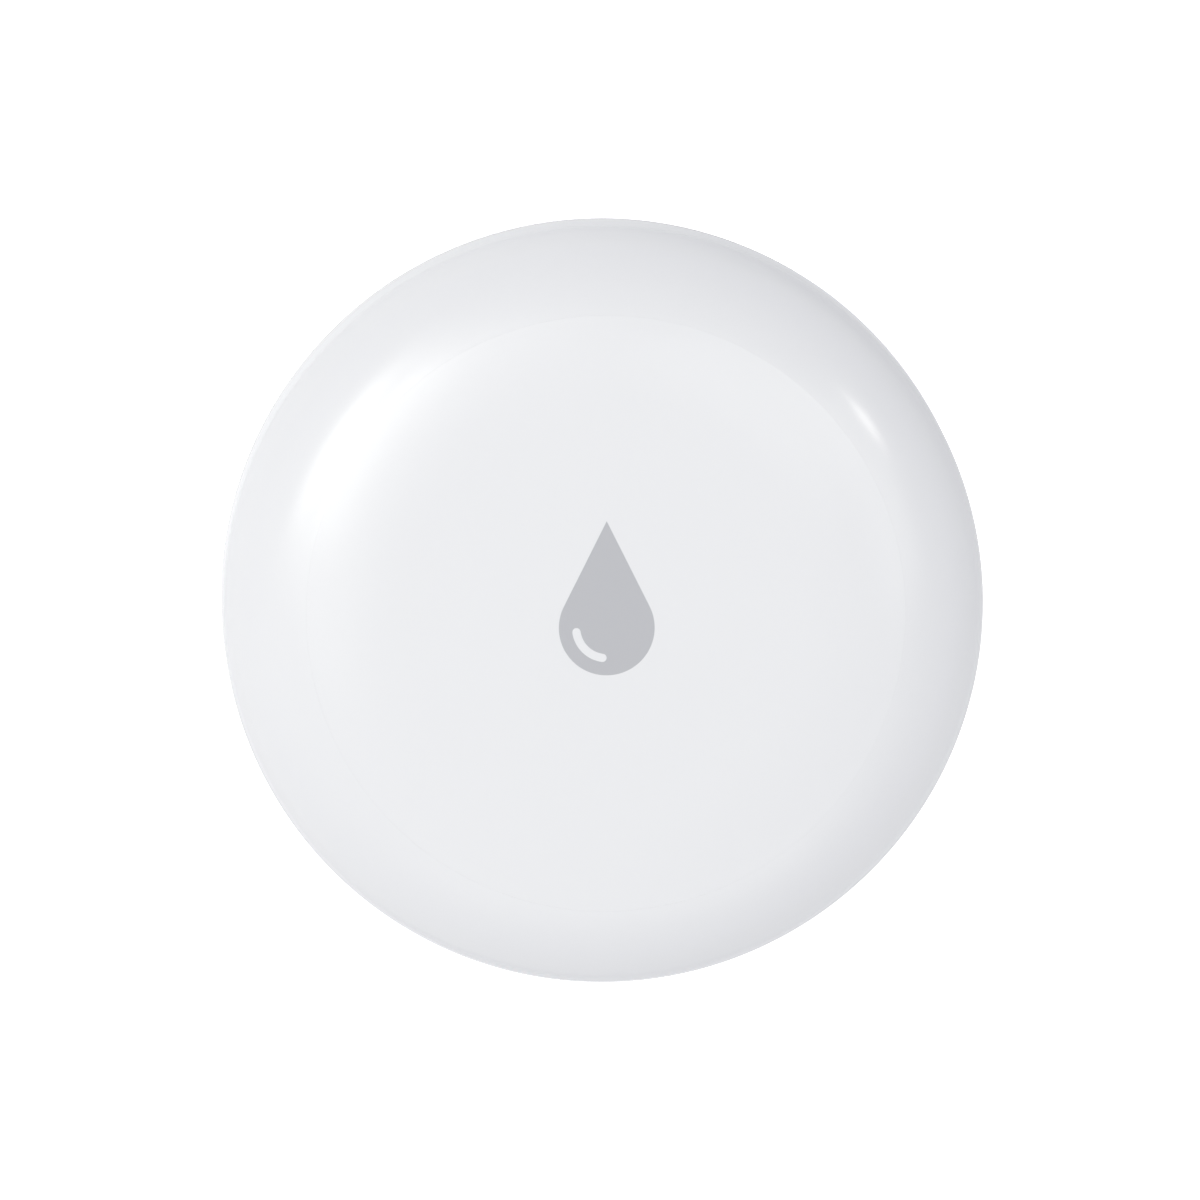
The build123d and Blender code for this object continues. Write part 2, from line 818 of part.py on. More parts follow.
def coin_cell_can():
    """Positive can of the cell: a cup, curled in at its top, with a plus sign on its face."""
    crimp_top = cell_bottom + cell_crimp_height
    wall_top = crimp_top - cell_crimp_slope
    inner = cell_radius - cell_can_wall
    lip = cell_radius - cell_crimp_inset
    body = turned(
        Polyline(
            (0, cell_bottom),
            (cell_radius, cell_bottom),
            (cell_radius, wall_top),
            (lip, crimp_top),
            (lip - cell_can_wall, crimp_top - cell_can_wall),
            (inner, wall_top - cell_can_wall),
            (inner, cell_bottom + cell_can_wall),
            (0, cell_bottom + cell_can_wall),
            (0, cell_bottom),
        )
    )
    corner = level_circles(body).group_by(Axis.Z)[0].sort_by(SortBy.RADIUS)[-1]
    body = fillet(corner, cell_can_round - cell_part_gap)
    sign_low = cell_bottom - cut_overrun
    return body - cross(cell_sign_span, cell_sign_width, sign_low, cell_bottom + cell_sign_depth)


def coin_cell_gasket():
    """Plastic ring between the can and the cap."""
    inner = cell_cap_radius + cell_part_gap
    outer = cell_radius - cell_can_wall - cell_part_gap
    crimp_top = cell_bottom + cell_crimp_height
    high = crimp_top - cell_crimp_slope - cell_can_wall
    lip = cell_radius - cell_crimp_inset - cell_can_wall - cell_part_gap
    return ring(inner, outer, cell_floor, high) + ring(inner, lip, high - fuse_overlap, crimp_top)


def coin_cell_cap():
    """Negative cap, a thin cup upside down."""
    body = cylinder(cell_cap_radius, cell_floor, cell_top)
    body = fillet(level_circles(body).sort_by(Axis.Z)[-1], cell_cap_round)
    inside = cell_cap_radius - cell_cap_wall
    return body - cylinder(inside, cell_floor - cut_overrun, cell_top - cell_cap_wall)


def coin_cell_filling():
    """The cell's pressed filling inside the cap."""
    radius = cell_cap_radius - cell_cap_wall - cell_part_gap
    return cylinder(radius, cell_floor, cell_top - cell_cap_wall - cell_part_gap)


def battery_holder():
    """Ring round the cell, pegged into the board, with a window for the side contact."""
    body = ring(holder_inner_radius, holder_radius, holder_bottom, board_underside)
    window = (holder_window_width, holder_gap + 2 * holder_wall, board_underside - holder_bottom)
    body -= block(window, (0, holder_inner_radius + holder_wall / 2), holder_bottom + holder_lift)
    peg_circle = holder_inner_radius + holder_wall / 2
    for place in on_circle(holder_peg_count, holder_peg_first_angle, peg_circle):
        peg_top = board_underside + holder_peg_length
        body += cylinder(holder_peg_radius, board_underside - fuse_overlap, peg_top, place)
    return body


def negative_contact():
    """Spring leaf from the board down onto the cell's cap."""
    high = board_underside - leaf_thickness / 2
    low = cell_top + touch_gap + leaf_thickness / 2
    start = cell_contact_inset - holder_inner_radius
    points = [
        (start, high),
        (start + cell_contact_pad, high),
        (-cell_contact_toe, low),
        (cell_contact_toe, low),
        (cell_contact_toe + cell_contact_tail, low + cell_contact_tail_rise),
    ]
    return bent_strip(points, leaf_thickness, cell_contact_width)


def positive_contact():
    """Angled leaf from the board down against the side of the cell's can."""
    high = board_underside - leaf_thickness / 2
    inner = cell_radius + touch_gap + leaf_thickness / 2
    points = [
        (inner + side_contact_tab, high),
        (inner, high),
        (inner, high - side_contact_depth),
        (inner + side_contact_flare, high - side_contact_depth - side_contact_flare),
    ]
    return Rot(0, 0, 90) * bent_strip(points, leaf_thickness, cell_contact_width)


# Probes

def probe_screw(place):
    """Cross-head screw whose head stands on the floor and senses the water."""
    crown_width = probe_head_radius - probe_head_flat_radius
    crown_arc = side_radius(probe_head_crown, crown_width)
    half_way = crown_width / 2
    crown_middle = crown_arc - math.sqrt(crown_arc**2 - half_way**2)
    flat = (probe_head_flat_radius, 0)
    edge = (probe_head_radius, probe_head_crown)
    tip = probe_head_height + probe_shank_length
    body = turned(
        Line((0, 0), flat),
        ThreePointArc(flat, (probe_head_flat_radius + half_way, crown_middle), edge),
        Polyline(
            edge,
            (probe_head_radius, probe_head_height),
            (probe_shank_radius, probe_head_height),
            (probe_shank_radius, tip),
            (0, tip),
            (0, 0),
        ),
    )
    body -= cross(probe_recess_span, probe_recess_width, -cut_overrun, probe_recess_depth)
    return Pos(place[0], place[1], 0) * body


def probe_insert(place):
    """Threaded brass insert that the screw clamps and the leaf touches."""
    body = ring(probe_shank_radius + touch_gap, insert_radius, insert_bottom, insert_top, place)
    groove_low = (insert_bottom + insert_top - insert_groove_width) / 2
    groove_inner = insert_radius - insert_groove_depth
    groove_outer = insert_radius + cut_overrun
    return body - ring(groove_inner, groove_outer, groove_low, groove_low + insert_groove_width, place)


def probe_seal(place):
    """Soft washer under the screw's head."""
    inner = probe_shank_radius + probe_seal_clearance
    outer = probe_head_radius
    return ring(inner, outer, probe_head_height, probe_counterbore_top, place)


def probe_contact():
    """Spring leaf from the board down onto an insert, on the +X side."""
    high = board_underside - leaf_thickness / 2
    low = insert_top + touch_gap + leaf_thickness / 2
    start = fixing_circle_radius - probe_contact_start
    points = [
        (start, high),
        (start + probe_contact_pad, high),
        (fixing_circle_radius - probe_contact_toe, low),
        (fixing_circle_radius + probe_contact_toe, low),
        (fixing_circle_radius + probe_contact_toe + probe_contact_tail, low + probe_contact_tail_rise),
    ]
    return bent_strip(points, leaf_thickness, probe_contact_width)


# Board

def circuit_board():
    """Round board with its screw holes and the holes for the holder's pegs."""
    body = cylinder(board_radius, board_underside, board_top)
    low = board_underside - cut_overrun
    high = board_top + cut_overrun
    hole = board_screw_shank_radius + board_screw_hole_clearance
    for place in on_circle(board_screw_count, board_screw_first_angle, fixing_circle_radius):
        body -= cylinder(hole, low, high, place)
    peg_circle = holder_inner_radius + holder_wall / 2
    for place in on_circle(holder_peg_count, holder_peg_first_angle, peg_circle):
        body -= cylinder(holder_peg_radius + holder_peg_clearance, low, high, place)
    return body


def board_screw(place):
    """Small cross-head screw that holds the board on its boss."""
    head_top = board_top + board_screw_head_height
    body = cylinder(board_screw_head_radius, board_top, head_top)
    body = fillet(level_circles(body).sort_by(Axis.Z)[-1], board_screw_head_height / 2)
    body += cylinder(board_screw_shank_radius, board_top - board_screw_length, board_top + fuse_overlap)
    slot_low = head_top - board_screw_slot_depth
    body -= cross(board_screw_slot_span, board_screw_slot_width, slot_low, head_top + cut_overrun)
    return Pos(place[0], place[1], 0) * body


def antenna_trace():
    """Copper track that winds along the board's edge."""
    half_width = aerial_turn_count * aerial_pitch / 2
    inner_edge = board_radius - aerial_inset
    points = [(-half_width, inner_edge - aerial_feed)]
    for number in range(aerial_turn_count + 1):
        x = -half_width + aerial_pitch * number
        near = (x, inner_edge)
        far = (x, inner_edge + aerial_depth)
        points += [near, far] if number % 2 == 0 else [far, near]
    track = None
    for (x0, y0), (x1, y1) in zip(points, points[1:]):
        size = (abs(x1 - x0) + aerial_width, abs(y1 - y0) + aerial_width, aerial_thickness)
        leg = block(size, ((x0 + x1) / 2, -(y0 + y1) / 2), board_top)
        track = leg if track is None else track + leg
    return track


# Push switch

def stud_places():
    """Corners where the switch's plate is riveted down."""
    reach = switch_width / 2 - switch_stud_inset
    return [(x * reach, y * reach) for x in (-1, 1) for y in (-1, 1)]


def switch_housing():
    """Moulded body of the switch with the cavity for its dome and plunger."""
    body = block((switch_width, switch_width, switch_body_height), (0, 0), board_top)
    body -= cylinder(switch_cavity_radius, switch_cavity_floor, switch_body_top + cut_overrun)
    for place in stud_places():
        stud_top = switch_top + switch_stud_rise
        body += cylinder(switch_stud_radius, switch_body_top - fuse_overlap, stud_top, place)
    return body


def switch_cover_plate():
    """Metal plate that keeps the plunger in."""
    body = block((switch_width, switch_width, switch_plate_thickness), (0, 0), switch_body_top)
    high = switch_top + cut_overrun
    low = switch_body_top - cut_overrun
    body -= cylinder(switch_plate_hole_radius, low, high)
    for place in stud_places():
        body -= cylinder(switch_stud_radius + switch_stud_clearance, low, high, place)
    return body


def switch_dome():
    """Thin snap dome under the plunger."""
    def arc(lift):
        apex = (0, switch_cavity_floor + dome_rise - lift)
        rim = (dome_radius, switch_cavity_floor + dome_thickness - lift)
        fall = apex[1] - rim[1]
        bend = (dome_radius**2 + fall**2) / (2 * fall)
        half = dome_radius / 2
        middle = (half, apex[1] - bend + math.sqrt(bend**2 - half**2))
        return apex, middle, rim

    apex, middle, rim = arc(0)
    low_apex, low_middle, low_rim = arc(dome_thickness)
    return turned(
        ThreePointArc(apex, middle, rim),
        Line(rim, low_rim),
        ThreePointArc(low_rim, low_middle, low_apex),
        Line(low_apex, apex),
    )


def switch_plunger():
    """Plunger that the disc's post pushes."""
    flange_top = switch_body_top - touch_gap
    body = cylinder(plunger_flange_radius, plunger_bottom, flange_top)
    stem = cylinder(plunger_radius, flange_top - fuse_overlap, plunger_top)
    return body + fillet(level_circles(stem).sort_by(Axis.Z)[-1], plunger_round)


def switch_legs():
    """Four bent legs that carry the switch on the board."""
    side = switch_width / 2 + touch_gap
    low = board_top + switch_leg_thickness / 2
    high = board_top + switch_leg_height
    points = [
        (side, high),
        (side + switch_leg_shoulder, high),
        (side + switch_leg_shoulder, low),
        (side + switch_leg_shoulder + switch_leg_foot, low),
    ]
    leg = bent_strip(points, switch_leg_thickness, switch_leg_width)
    pair = [Pos(0, y * switch_leg_pitch / 2, 0) * leg for y in (-1, 1)]
    return [Rot(0, 0, turn) * copy for turn in (0, 180) for copy in pair]


# Other parts on the board

def board_place(inset, angle):
    """Place on the board at a distance from its edge, in a direction."""
    return on_circle(1, angle, board_radius - inset)[0]


def chip(size, place):
    """Moulded chip body with its top edges broken."""
    body = block(size, place, board_top)
    return chamfer(body.faces().sort_by(Axis.Z)[-1].edges(), chip_bevel)


def radio_chip():
    """Flat square chip with a row of pads along each side."""
    place = board_place(radio_chip_inset, radio_chip_angle)
    body = chip(radio_chip_size, place)
    length = radio_chip_size[0]
    pitch = (length - 2 * radio_pin_length) / radio_pin_count
    for turn in range(4):
        for number in range(radio_pin_count):
            along = (number - (radio_pin_count - 1) / 2) * pitch
            size = (radio_pin_length, radio_pin_width, radio_pin_height)
            pin = block(size, (length / 2, along), board_top)
            body += Pos(*place, 0) * (Rot(0, 0, 90 * turn) * pin)
    return body


def crystal():
    """Ceramic crystal package with its raised metal lid."""
    length, width, height = crystal_size
    place = board_place(crystal_inset, crystal_angle)
    body = block((length, width, height - crystal_lid_height), place, board_top)
    lid = (length - 2 * crystal_lid_inset, width - 2 * crystal_lid_inset, height)
    return body + block(lid, place, board_top)


def legged_chip(size, place, leg, legs_per_side, pitch):
    """Chip on flat bent legs: leg is the reach, width, thickness and height of one leg."""
    reach, width, thickness, height = leg
    body = chip(size, place)
    x0 = size[0] / 2 - fuse_overlap
    bend = x0 + fuse_overlap + reach / 2
    low = board_top + thickness / 2
    points = [(x0, board_top + height), (bend, board_top + height), (bend, low), (bend + reach / 2, low)]
    one = bent_strip(points, thickness, width)
    for turn in (0, 180):
        for number in range(legs_per_side):
            along = (number - (legs_per_side - 1) / 2) * pitch
            body += Pos(*place, 0) * (Rot(0, 0, turn) * (Pos(0, along, 0) * one))
    return body


def flash_memory():
    """Memory chip with four legs a side."""
    leg = (flash_leg_reach, flash_leg_width, flash_leg_thickness, flash_leg_height)
    size = (flash_memory_size[1], flash_memory_size[0], flash_memory_size[2])
    place = board_place(flash_memory_inset, flash_memory_angle)
    return legged_chip(size, place, leg, flash_leg_count, flash_leg_pitch)


def voltage_regulator():
    """Small regulator with two legs a side."""
    leg = (regulator_leg_reach, regulator_leg_width, regulator_leg_height, regulator_size[2] / 2)
    size = (regulator_size[1], regulator_size[0], regulator_size[2])
    place = board_place(regulator_inset, regulator_angle)
    return legged_chip(size, place, leg, 2, regulator_leg_pitch)


def buffer_capacitor():
    """Moulded capacitor beside the switch."""
    return chip(buffer_capacitor_size, board_place(buffer_capacitor_inset, buffer_capacitor_angle))


def status_led():
    """Surface-mounted lamp with its lens."""
    place = board_place(led_inset, led_angle)
    body = block((led_size[0], led_size[1], led_size[2] - led_lens_height), place, board_top)
    lens = (led_size[0] - 2 * led_lens_inset, led_size[1], led_size[2])
    return body + block(lens, place, board_top)


def small_parts(size, inset, angles):
    """Rows of small blocks on the board, each its own solid."""
    found = []
    for x, y in [board_place(inset, angle) for angle in angles]:
        for number in range(small_part_count):
            shift = (number - (small_part_count - 1) / 2) * small_part_pitch
            one = block((size[1], size[0], size[2]), (x + shift, y), board_top)
            found.append(chamfer(one.faces().sort_by(Axis.Z)[-1].edges(), small_part_bevel))
    return found


# Writing the pieces

def pieces():
    """Every node's name and its solid, or its list of separate solids."""
    right, left = on_circle(2, 0, fixing_circle_radius)
    screws = on_circle(board_screw_count, board_screw_first_angle, fixing_circle_radius)
    return {
        "top_shell": top_shell(),
        "button_disc": button_disc(),
        "drop_symbol": drop_symbol(),
        "button_seal": button_seal(),
        "base_shell": base_shell(),
        "housing_seal": housing_seal(),
        "battery_cover": battery_cover(),
        "battery_cover_seal": battery_cover_seal(),
        "coin_cell_can": coin_cell_can(),
        "coin_cell_gasket": coin_cell_gasket(),
        "coin_cell_cap": coin_cell_cap(),
        "coin_cell_filling": coin_cell_filling(),
        "battery_holder": battery_holder(),
        "negative_contact": negative_contact(),
        "positive_contact": positive_contact(),
        "probe_screw_right": probe_screw(right),
        "probe_screw_left": probe_screw(left),
        "probe_inserts": [probe_insert(right), probe_insert(left)],
        "probe_seals": [probe_seal(right), probe_seal(left)],
        "probe_contact_right": probe_contact(),
        "probe_contact_left": Rot(0, 0, 180) * probe_contact(),
        "circuit_board": circuit_board(),
        "board_screws": [board_screw(place) for place in screws],
        "antenna_trace": antenna_trace(),
        "switch_housing": switch_housing(),
        "switch_cover_plate": switch_cover_plate(),
        "switch_dome": switch_dome(),
        "switch_plunger": switch_plunger(),
        "switch_legs": switch_legs(),
        "radio_chip": radio_chip(),
        "crystal": crystal(),
        "flash_memory": flash_memory(),
        "voltage_regulator": voltage_regulator(),
        "buffer_capacitor": buffer_capacitor(),
        "status_led": status_led(),
        "ceramic_capacitors": small_parts(capacitor_size, capacitor_row_inset, capacitor_row_angles),
        "chip_resistors": small_parts(resistor_size, resistor_row_inset, resistor_row_angles),
    }


def write_pieces():
    """Writes each node as one STEP file."""
    os.makedirs("parts", exist_ok=True)
    for name, shape in pieces().items():
        whole = Compound(children=shape) if isinstance(shape, list) else shape
        export_step(whole, "parts/" + name + ".step")


write_pieces()
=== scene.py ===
import math

import bmesh
import bpy
from mathutils import Matrix, Vector


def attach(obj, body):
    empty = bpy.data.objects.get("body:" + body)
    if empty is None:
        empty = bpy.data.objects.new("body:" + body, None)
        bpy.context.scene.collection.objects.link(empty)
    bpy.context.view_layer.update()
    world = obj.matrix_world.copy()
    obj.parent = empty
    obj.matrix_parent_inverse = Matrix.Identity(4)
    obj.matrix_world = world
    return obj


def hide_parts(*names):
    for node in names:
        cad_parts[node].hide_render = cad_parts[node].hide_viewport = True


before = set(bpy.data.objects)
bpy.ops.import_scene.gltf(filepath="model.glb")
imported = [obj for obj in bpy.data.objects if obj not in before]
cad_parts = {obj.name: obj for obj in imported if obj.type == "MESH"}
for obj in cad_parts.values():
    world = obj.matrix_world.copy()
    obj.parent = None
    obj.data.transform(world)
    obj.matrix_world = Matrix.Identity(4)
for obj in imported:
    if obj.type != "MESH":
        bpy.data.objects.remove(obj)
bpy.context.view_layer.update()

# Round water leak sensor. Its outlines are worked out in millimetres, and everything is made in metres.
MM = 0.001

# Outline of the sensor, the same as the solids
outer_radius_mm = 25.0
overall_height_mm = 15.0
disc_radius_mm = 19.6
hole_radius_mm = 19.64
disc_centre_radius_mm = 13.0
disc_centre_curvature_mm = 300.0
disc_edge_slope = math.radians(15.0)
disc_edge_thickness_mm = 1.3
shoulder_start = math.radians(19.0)
shoulder_turn = math.radians(48.0)
shoulder_turn_radius_mm = 24.0
seam_height_mm = 3.4
seam_bevel_mm = 0.2
shell_bore_mm = 22.3
ledge_inner_mm = 16.94
ledge_thickness_mm = 0.9
button_seal_height_mm = 0.6

# Snap hooks, ribs and centre post under the face; sweep in degrees
hook_count = 4
hook_sweep = 14.0
hook_clearance_mm = 0.15
hook_stem_mm = 0.9
hook_reach_mm = 0.6
hook_height_mm = 0.7
hook_play_mm = 0.05
recess_wall_mm = 0.75
recess_depth_mm = 0.75
disc_rib_count = 6
disc_rib_width_mm = 0.8
post_radius_mm = 1.8
post_length_mm = 1.0

# Gussets under the ledge, and how far ribs, hooks and gussets run into what they stand on
gusset_count = 8
gusset_width_mm = 1.0
gusset_reach_mm = 1.7
gusset_height_mm = 1.6
join_mm = 0.2

# Water drop on the face, with the start and the turn of its curved highlight in degrees
drop_radius_mm = 3.13
drop_tip_mm = 7.0
drop_sink_mm = 0.77
drop_depth_mm = 0.2
drop_line_mm = 0.002
shine_radius_mm = 2.0
shine_half_mm = 0.275
shine_start = 188.0
shine_turn = 74.0

# How finely the scene's own meshes are made; angles of creases in degrees
rim_gap_mm = 0.001
lathe_steps = 288
dome_steps = 90
drop_dome_steps = 40
shoulder_steps = 40
shoulder_edge_steps = 20
side_rings = 6
edge_round_mm = 0.06
edge_round_steps = 5
hook_steps = 12
rib_steps = 2
drop_steps = 72
shine_steps = 28
shine_cap_steps = 8
crease_angle = 30
carved_crease_angle = 20
overrun_mm = 1.0
drop_margin_mm = 2.0
full_turn = 360

start_sine = disc_centre_radius_mm / disc_centre_curvature_mm
start_cosine = math.sqrt(1 - start_sine**2)
disc_edge_curvature_mm = (disc_radius_mm - disc_centre_radius_mm) / (math.sin(disc_edge_slope) - start_sine)
rim_radius_mm = (disc_radius_mm + hole_radius_mm) / 2
hook_outer_mm = ledge_inner_mm - hook_clearance_mm
hook_inner_mm = hook_outer_mm - hook_stem_mm
disc_recess_mm = hook_inner_mm - recess_wall_mm


def dome_drop(radius):
    """How far the top face lies below its centre at a radius."""
    if radius <= disc_centre_radius_mm:
        return disc_centre_curvature_mm - math.sqrt(disc_centre_curvature_mm**2 - radius**2)
    sine = start_sine + (radius - disc_centre_radius_mm) / disc_edge_curvature_mm
    middle = disc_centre_curvature_mm * (1 - start_cosine)
    return middle + disc_edge_curvature_mm * (start_cosine - math.sqrt(1 - sine**2))


crease_mm = overall_height_mm - dome_drop(disc_radius_mm)
disc_underside_mm = crease_mm - disc_edge_thickness_mm
ledge_top_mm = disc_underside_mm - button_seal_height_mm
ledge_bottom_mm = ledge_top_mm - ledge_thickness_mm
shoulder_sines = math.sin(shoulder_turn) - math.sin(shoulder_start)
shoulder_arc_mm = (shoulder_turn_radius_mm - disc_radius_mm) / shoulder_sines
edge_arc_mm = (outer_radius_mm - shoulder_turn_radius_mm) / (1 - math.sin(shoulder_turn))
turn_height_mm = crease_mm - shoulder_arc_mm * (math.cos(shoulder_start) - math.cos(shoulder_turn))
side_top_mm = turn_height_mm - edge_arc_mm * math.cos(shoulder_turn)


# Mesh makers

def linked(name, data):
    """New object in the scene that shows a mesh, a lamp or a camera."""
    made = bpy.data.objects.new(name, data)
    bpy.context.scene.collection.objects.link(made)
    return made


def smooth(mesh, angle):
    """Smooth shading with crisp edges above an angle in degrees."""
    mesh.polygons.foreach_set("use_smooth", [True] * len(mesh.polygons))
    mesh.set_sharp_from_angle(angle=math.radians(angle))


def rounded(corners):
    """Outline of (radius, height, rounding) corners with each corner turned into a small arc."""
    points = []
    for number, (x, z, size) in enumerate(corners):
        here = Vector((x, z))
        before = Vector(corners[number - 1][:2])
        after = Vector(corners[(number + 1) % len(corners)][:2])
        if size <= 0:
            points.append(here)
            continue
        towards_before = (before - here).normalized()
        towards_after = (after - here).normalized()
        half = towards_before.angle(towards_after) / 2
        reach = size / math.tan(half)
        start = here + towards_before * reach
        end = here + towards_after * reach
        middle = here + (towards_before + towards_after).normalized() * size / math.sin(half)
        sweep = math.pi - 2 * half
        for step in range(edge_round_steps + 1):
            share = step / edge_round_steps
            from_start = math.sin((1 - share) * sweep) / math.sin(sweep)
            from_end = math.sin(share * sweep) / math.sin(sweep)
            points.append(middle + (start - middle) * from_start + (end - middle) * from_end)
    return [(point.x, point.y) for point in points]


def lathed(outline, closed):
    """Mesh data turned about the axis from an outline in millimetres, listed downwards on the outside."""
    mesh = bmesh.new()
    turns = [2 * math.pi * step / lathe_steps for step in range(lathe_steps)]
    rings = []
    for radius, height in outline:
        if radius == 0:
            rings.append([mesh.verts.new((0, 0, height * MM))])
            continue
        places = [(radius * math.cos(turn), radius * math.sin(turn), height) for turn in turns]
        rings.append([mesh.verts.new(Vector(place) * MM) for place in places])
    pairs = list(zip(rings, rings[1:]))
    if closed:
        pairs.append((rings[-1], rings[0]))
    for upper, lower in pairs:
        for step in range(lathe_steps):
            after = (step + 1) % lathe_steps
            if len(upper) == 1:
                mesh.faces.new((upper[0], lower[step], lower[after]))
            elif len(lower) == 1:
                mesh.faces.new((upper[after], upper[step], lower[0]))
            else:
                mesh.faces.new((upper[after], upper[step], lower[step], lower[after]))
    return mesh


def add_slice(mesh, inner, outer, low, high, middle, sweep, steps):
    """Adds a slice of a ring, between two radii, two heights and two angles, in millimetres and degrees."""
    sections = []
    for step in range(steps + 1):
        angle = math.radians(middle - sweep / 2 + sweep * step / steps)
        across, along = math.cos(angle), math.sin(angle)
        corners = ((inner, low), (outer, low), (outer, high), (inner, high))
        sections.append([mesh.verts.new((r * MM * across, r * MM * along, z * MM)) for r, z in corners])
    for first, second in zip(sections, sections[1:]):
        for number in range(len(first)):
            after = (number + 1) % len(first)
            mesh.faces.new((first[number], first[after], second[after], second[number]))
    mesh.faces.new(tuple(reversed(sections[0])))
    mesh.faces.new(tuple(sections[-1]))


def finished(mesh, name, body=None):
    """Turns mesh data into a piece with outward faces, which rides on a body where one is given."""
    bmesh.ops.recalc_face_normals(mesh, faces=mesh.faces)
    data = bpy.data.meshes.new(name)
    mesh.to_mesh(data)
    mesh.free()
    smooth(data, crease_angle)
    piece = linked(name, data)
    if body:
        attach(piece, body)
    return piece


# Outlines

def dome_outline(radius, steps):
    """Top face from its centre out to a radius."""
    reaches = [radius * step / steps for step in range(steps + 1)]
    return [(reach, overall_height_mm - dome_drop(reach)) for reach in reaches]


def shoulder_outline(start_radius):
    """Shoulder from the crease down to the upright side: a wide arc, then a tighter one."""
    points = []
    for step in range(shoulder_steps + 1):
        radius = start_radius + (shoulder_turn_radius_mm - start_radius) * step / shoulder_steps
        sine = math.sin(shoulder_start) + (radius - disc_radius_mm) / shoulder_arc_mm
        fall = shoulder_arc_mm * (math.cos(shoulder_start) - math.sqrt(1 - sine**2))
        points.append((radius, crease_mm - fall))
    for step in range(1, shoulder_edge_steps + 1):
        slope = shoulder_turn + (math.pi / 2 - shoulder_turn) * step / shoulder_edge_steps
        reach = outer_radius_mm - edge_arc_mm * (1 - math.sin(slope))
        points.append((reach, side_top_mm + edge_arc_mm * math.cos(slope)))
    return points


def top_shell():
    """Shoulder of the housing, lathed finely so that its highlight runs clean."""
    hole = rim_radius_mm + rim_gap_mm
    side_bottom_mm = seam_height_mm + seam_bevel_mm
    side_step_mm = (side_bottom_mm - side_top_mm) / side_rings
    outside = shoulder_outline(hole)
    outside += [(outer_radius_mm, side_top_mm + side_step_mm * ring) for ring in range(1, side_rings)]
    corners = [(radius, height, 0) for radius, height in outside] + [
        (outer_radius_mm, side_bottom_mm, edge_round_mm),
        (outer_radius_mm - seam_bevel_mm, seam_height_mm, edge_round_mm),
        (shell_bore_mm, seam_height_mm, edge_round_mm),
        (shell_bore_mm, ledge_bottom_mm, 0),
        (ledge_inner_mm, ledge_bottom_mm, edge_round_mm),
        (ledge_inner_mm, ledge_top_mm, edge_round_mm),
        (hole, ledge_top_mm, 0),
    ]
    mesh = lathed(rounded(corners), closed=True)
    gusset_inner_mm = shell_bore_mm - gusset_reach_mm
    low, high = ledge_bottom_mm - gusset_height_mm, ledge_bottom_mm + join_mm
    sweep = math.degrees(gusset_width_mm / (gusset_inner_mm + gusset_reach_mm / 2))
    for number in range(gusset_count):
        middle = (number + 0.5) * full_turn / gusset_count
        add_slice(mesh, gusset_inner_mm, shell_bore_mm + join_mm, low, high, middle, sweep, rib_steps)
    return finished(mesh, "top_shell_skin", "housing")


def drop_loop(radius_mm, tip_mm):
    """Outline of the drop, from the tip round the circle, in millimetres."""
    lean = math.asin(radius_mm / tip_mm)
    points = [(0.0, tip_mm - drop_sink_mm)]
    start, sweep = math.pi - lean, math.pi + 2 * lean
    for step in range(drop_steps + 1):
        angle = start + sweep * step / drop_steps
        points.append((radius_mm * math.cos(angle), radius_mm * math.sin(angle) - drop_sink_mm))
    return points


def arc_points(radius_mm, centre, start, end, steps):
    """Points along an arc about a centre, in millimetres and radians."""
    x, y = centre
    turns = [start + (end - start) * step / steps for step in range(steps + 1)]
    return [(x + radius_mm * math.cos(turn), y + radius_mm * math.sin(turn)) for turn in turns]


def shine_loop(half_mm):
    """Outline of the curved highlight inside the drop, in millimetres: two arcs joined by round ends."""
    start, end = math.radians(shine_start), math.radians(shine_start + shine_turn)
    middle = (0, -drop_sink_mm)
    first, last = (arc_points(shine_radius_mm, middle, turn, turn, 1)[0] for turn in (start, end))
    return (
        arc_points(shine_radius_mm + half_mm, middle, start, end, shine_steps)
        + arc_points(half_mm, last, end, end + math.pi, shine_cap_steps)[1:-1]
        + arc_points(shine_radius_mm - half_mm, middle, end, start, shine_steps)
        + arc_points(half_mm, first, start + math.pi, start + 2 * math.pi, shine_cap_steps)[1:-1]
    )


def prism(loop, low, high, name):
    """Upright prism over a closed outline in millimetres, as a helper object."""
    mesh = bmesh.new()
    lower = [mesh.verts.new((x * MM, y * MM, low * MM)) for x, y in loop]
    upper = [mesh.verts.new((x * MM, y * MM, high * MM)) for x, y in loop]
    mesh.faces.new(lower)
    mesh.faces.new(upper)
    for number in range(len(loop)):
        after = (number + 1) % len(loop)
        mesh.faces.new((lower[number], lower[after], upper[after], upper[number]))
    return finished(mesh, name)


def carve(piece, tool, operation):
    """Applies one boolean with a helper object and removes the helper."""
    modifier = piece.modifiers.new("carve", "BOOLEAN")
    modifier.operation = operation
    modifier.object = tool
    modifier.solver = "EXACT"
    graph = bpy.context.evaluated_depsgraph_get()
    shaped = bpy.data.meshes.new_from_object(piece.evaluated_get(graph))
    piece.modifiers.remove(modifier)
    old = piece.data
    piece.data = shaped
    bpy.data.meshes.remove(old)
    bpy.data.objects.remove(tool)


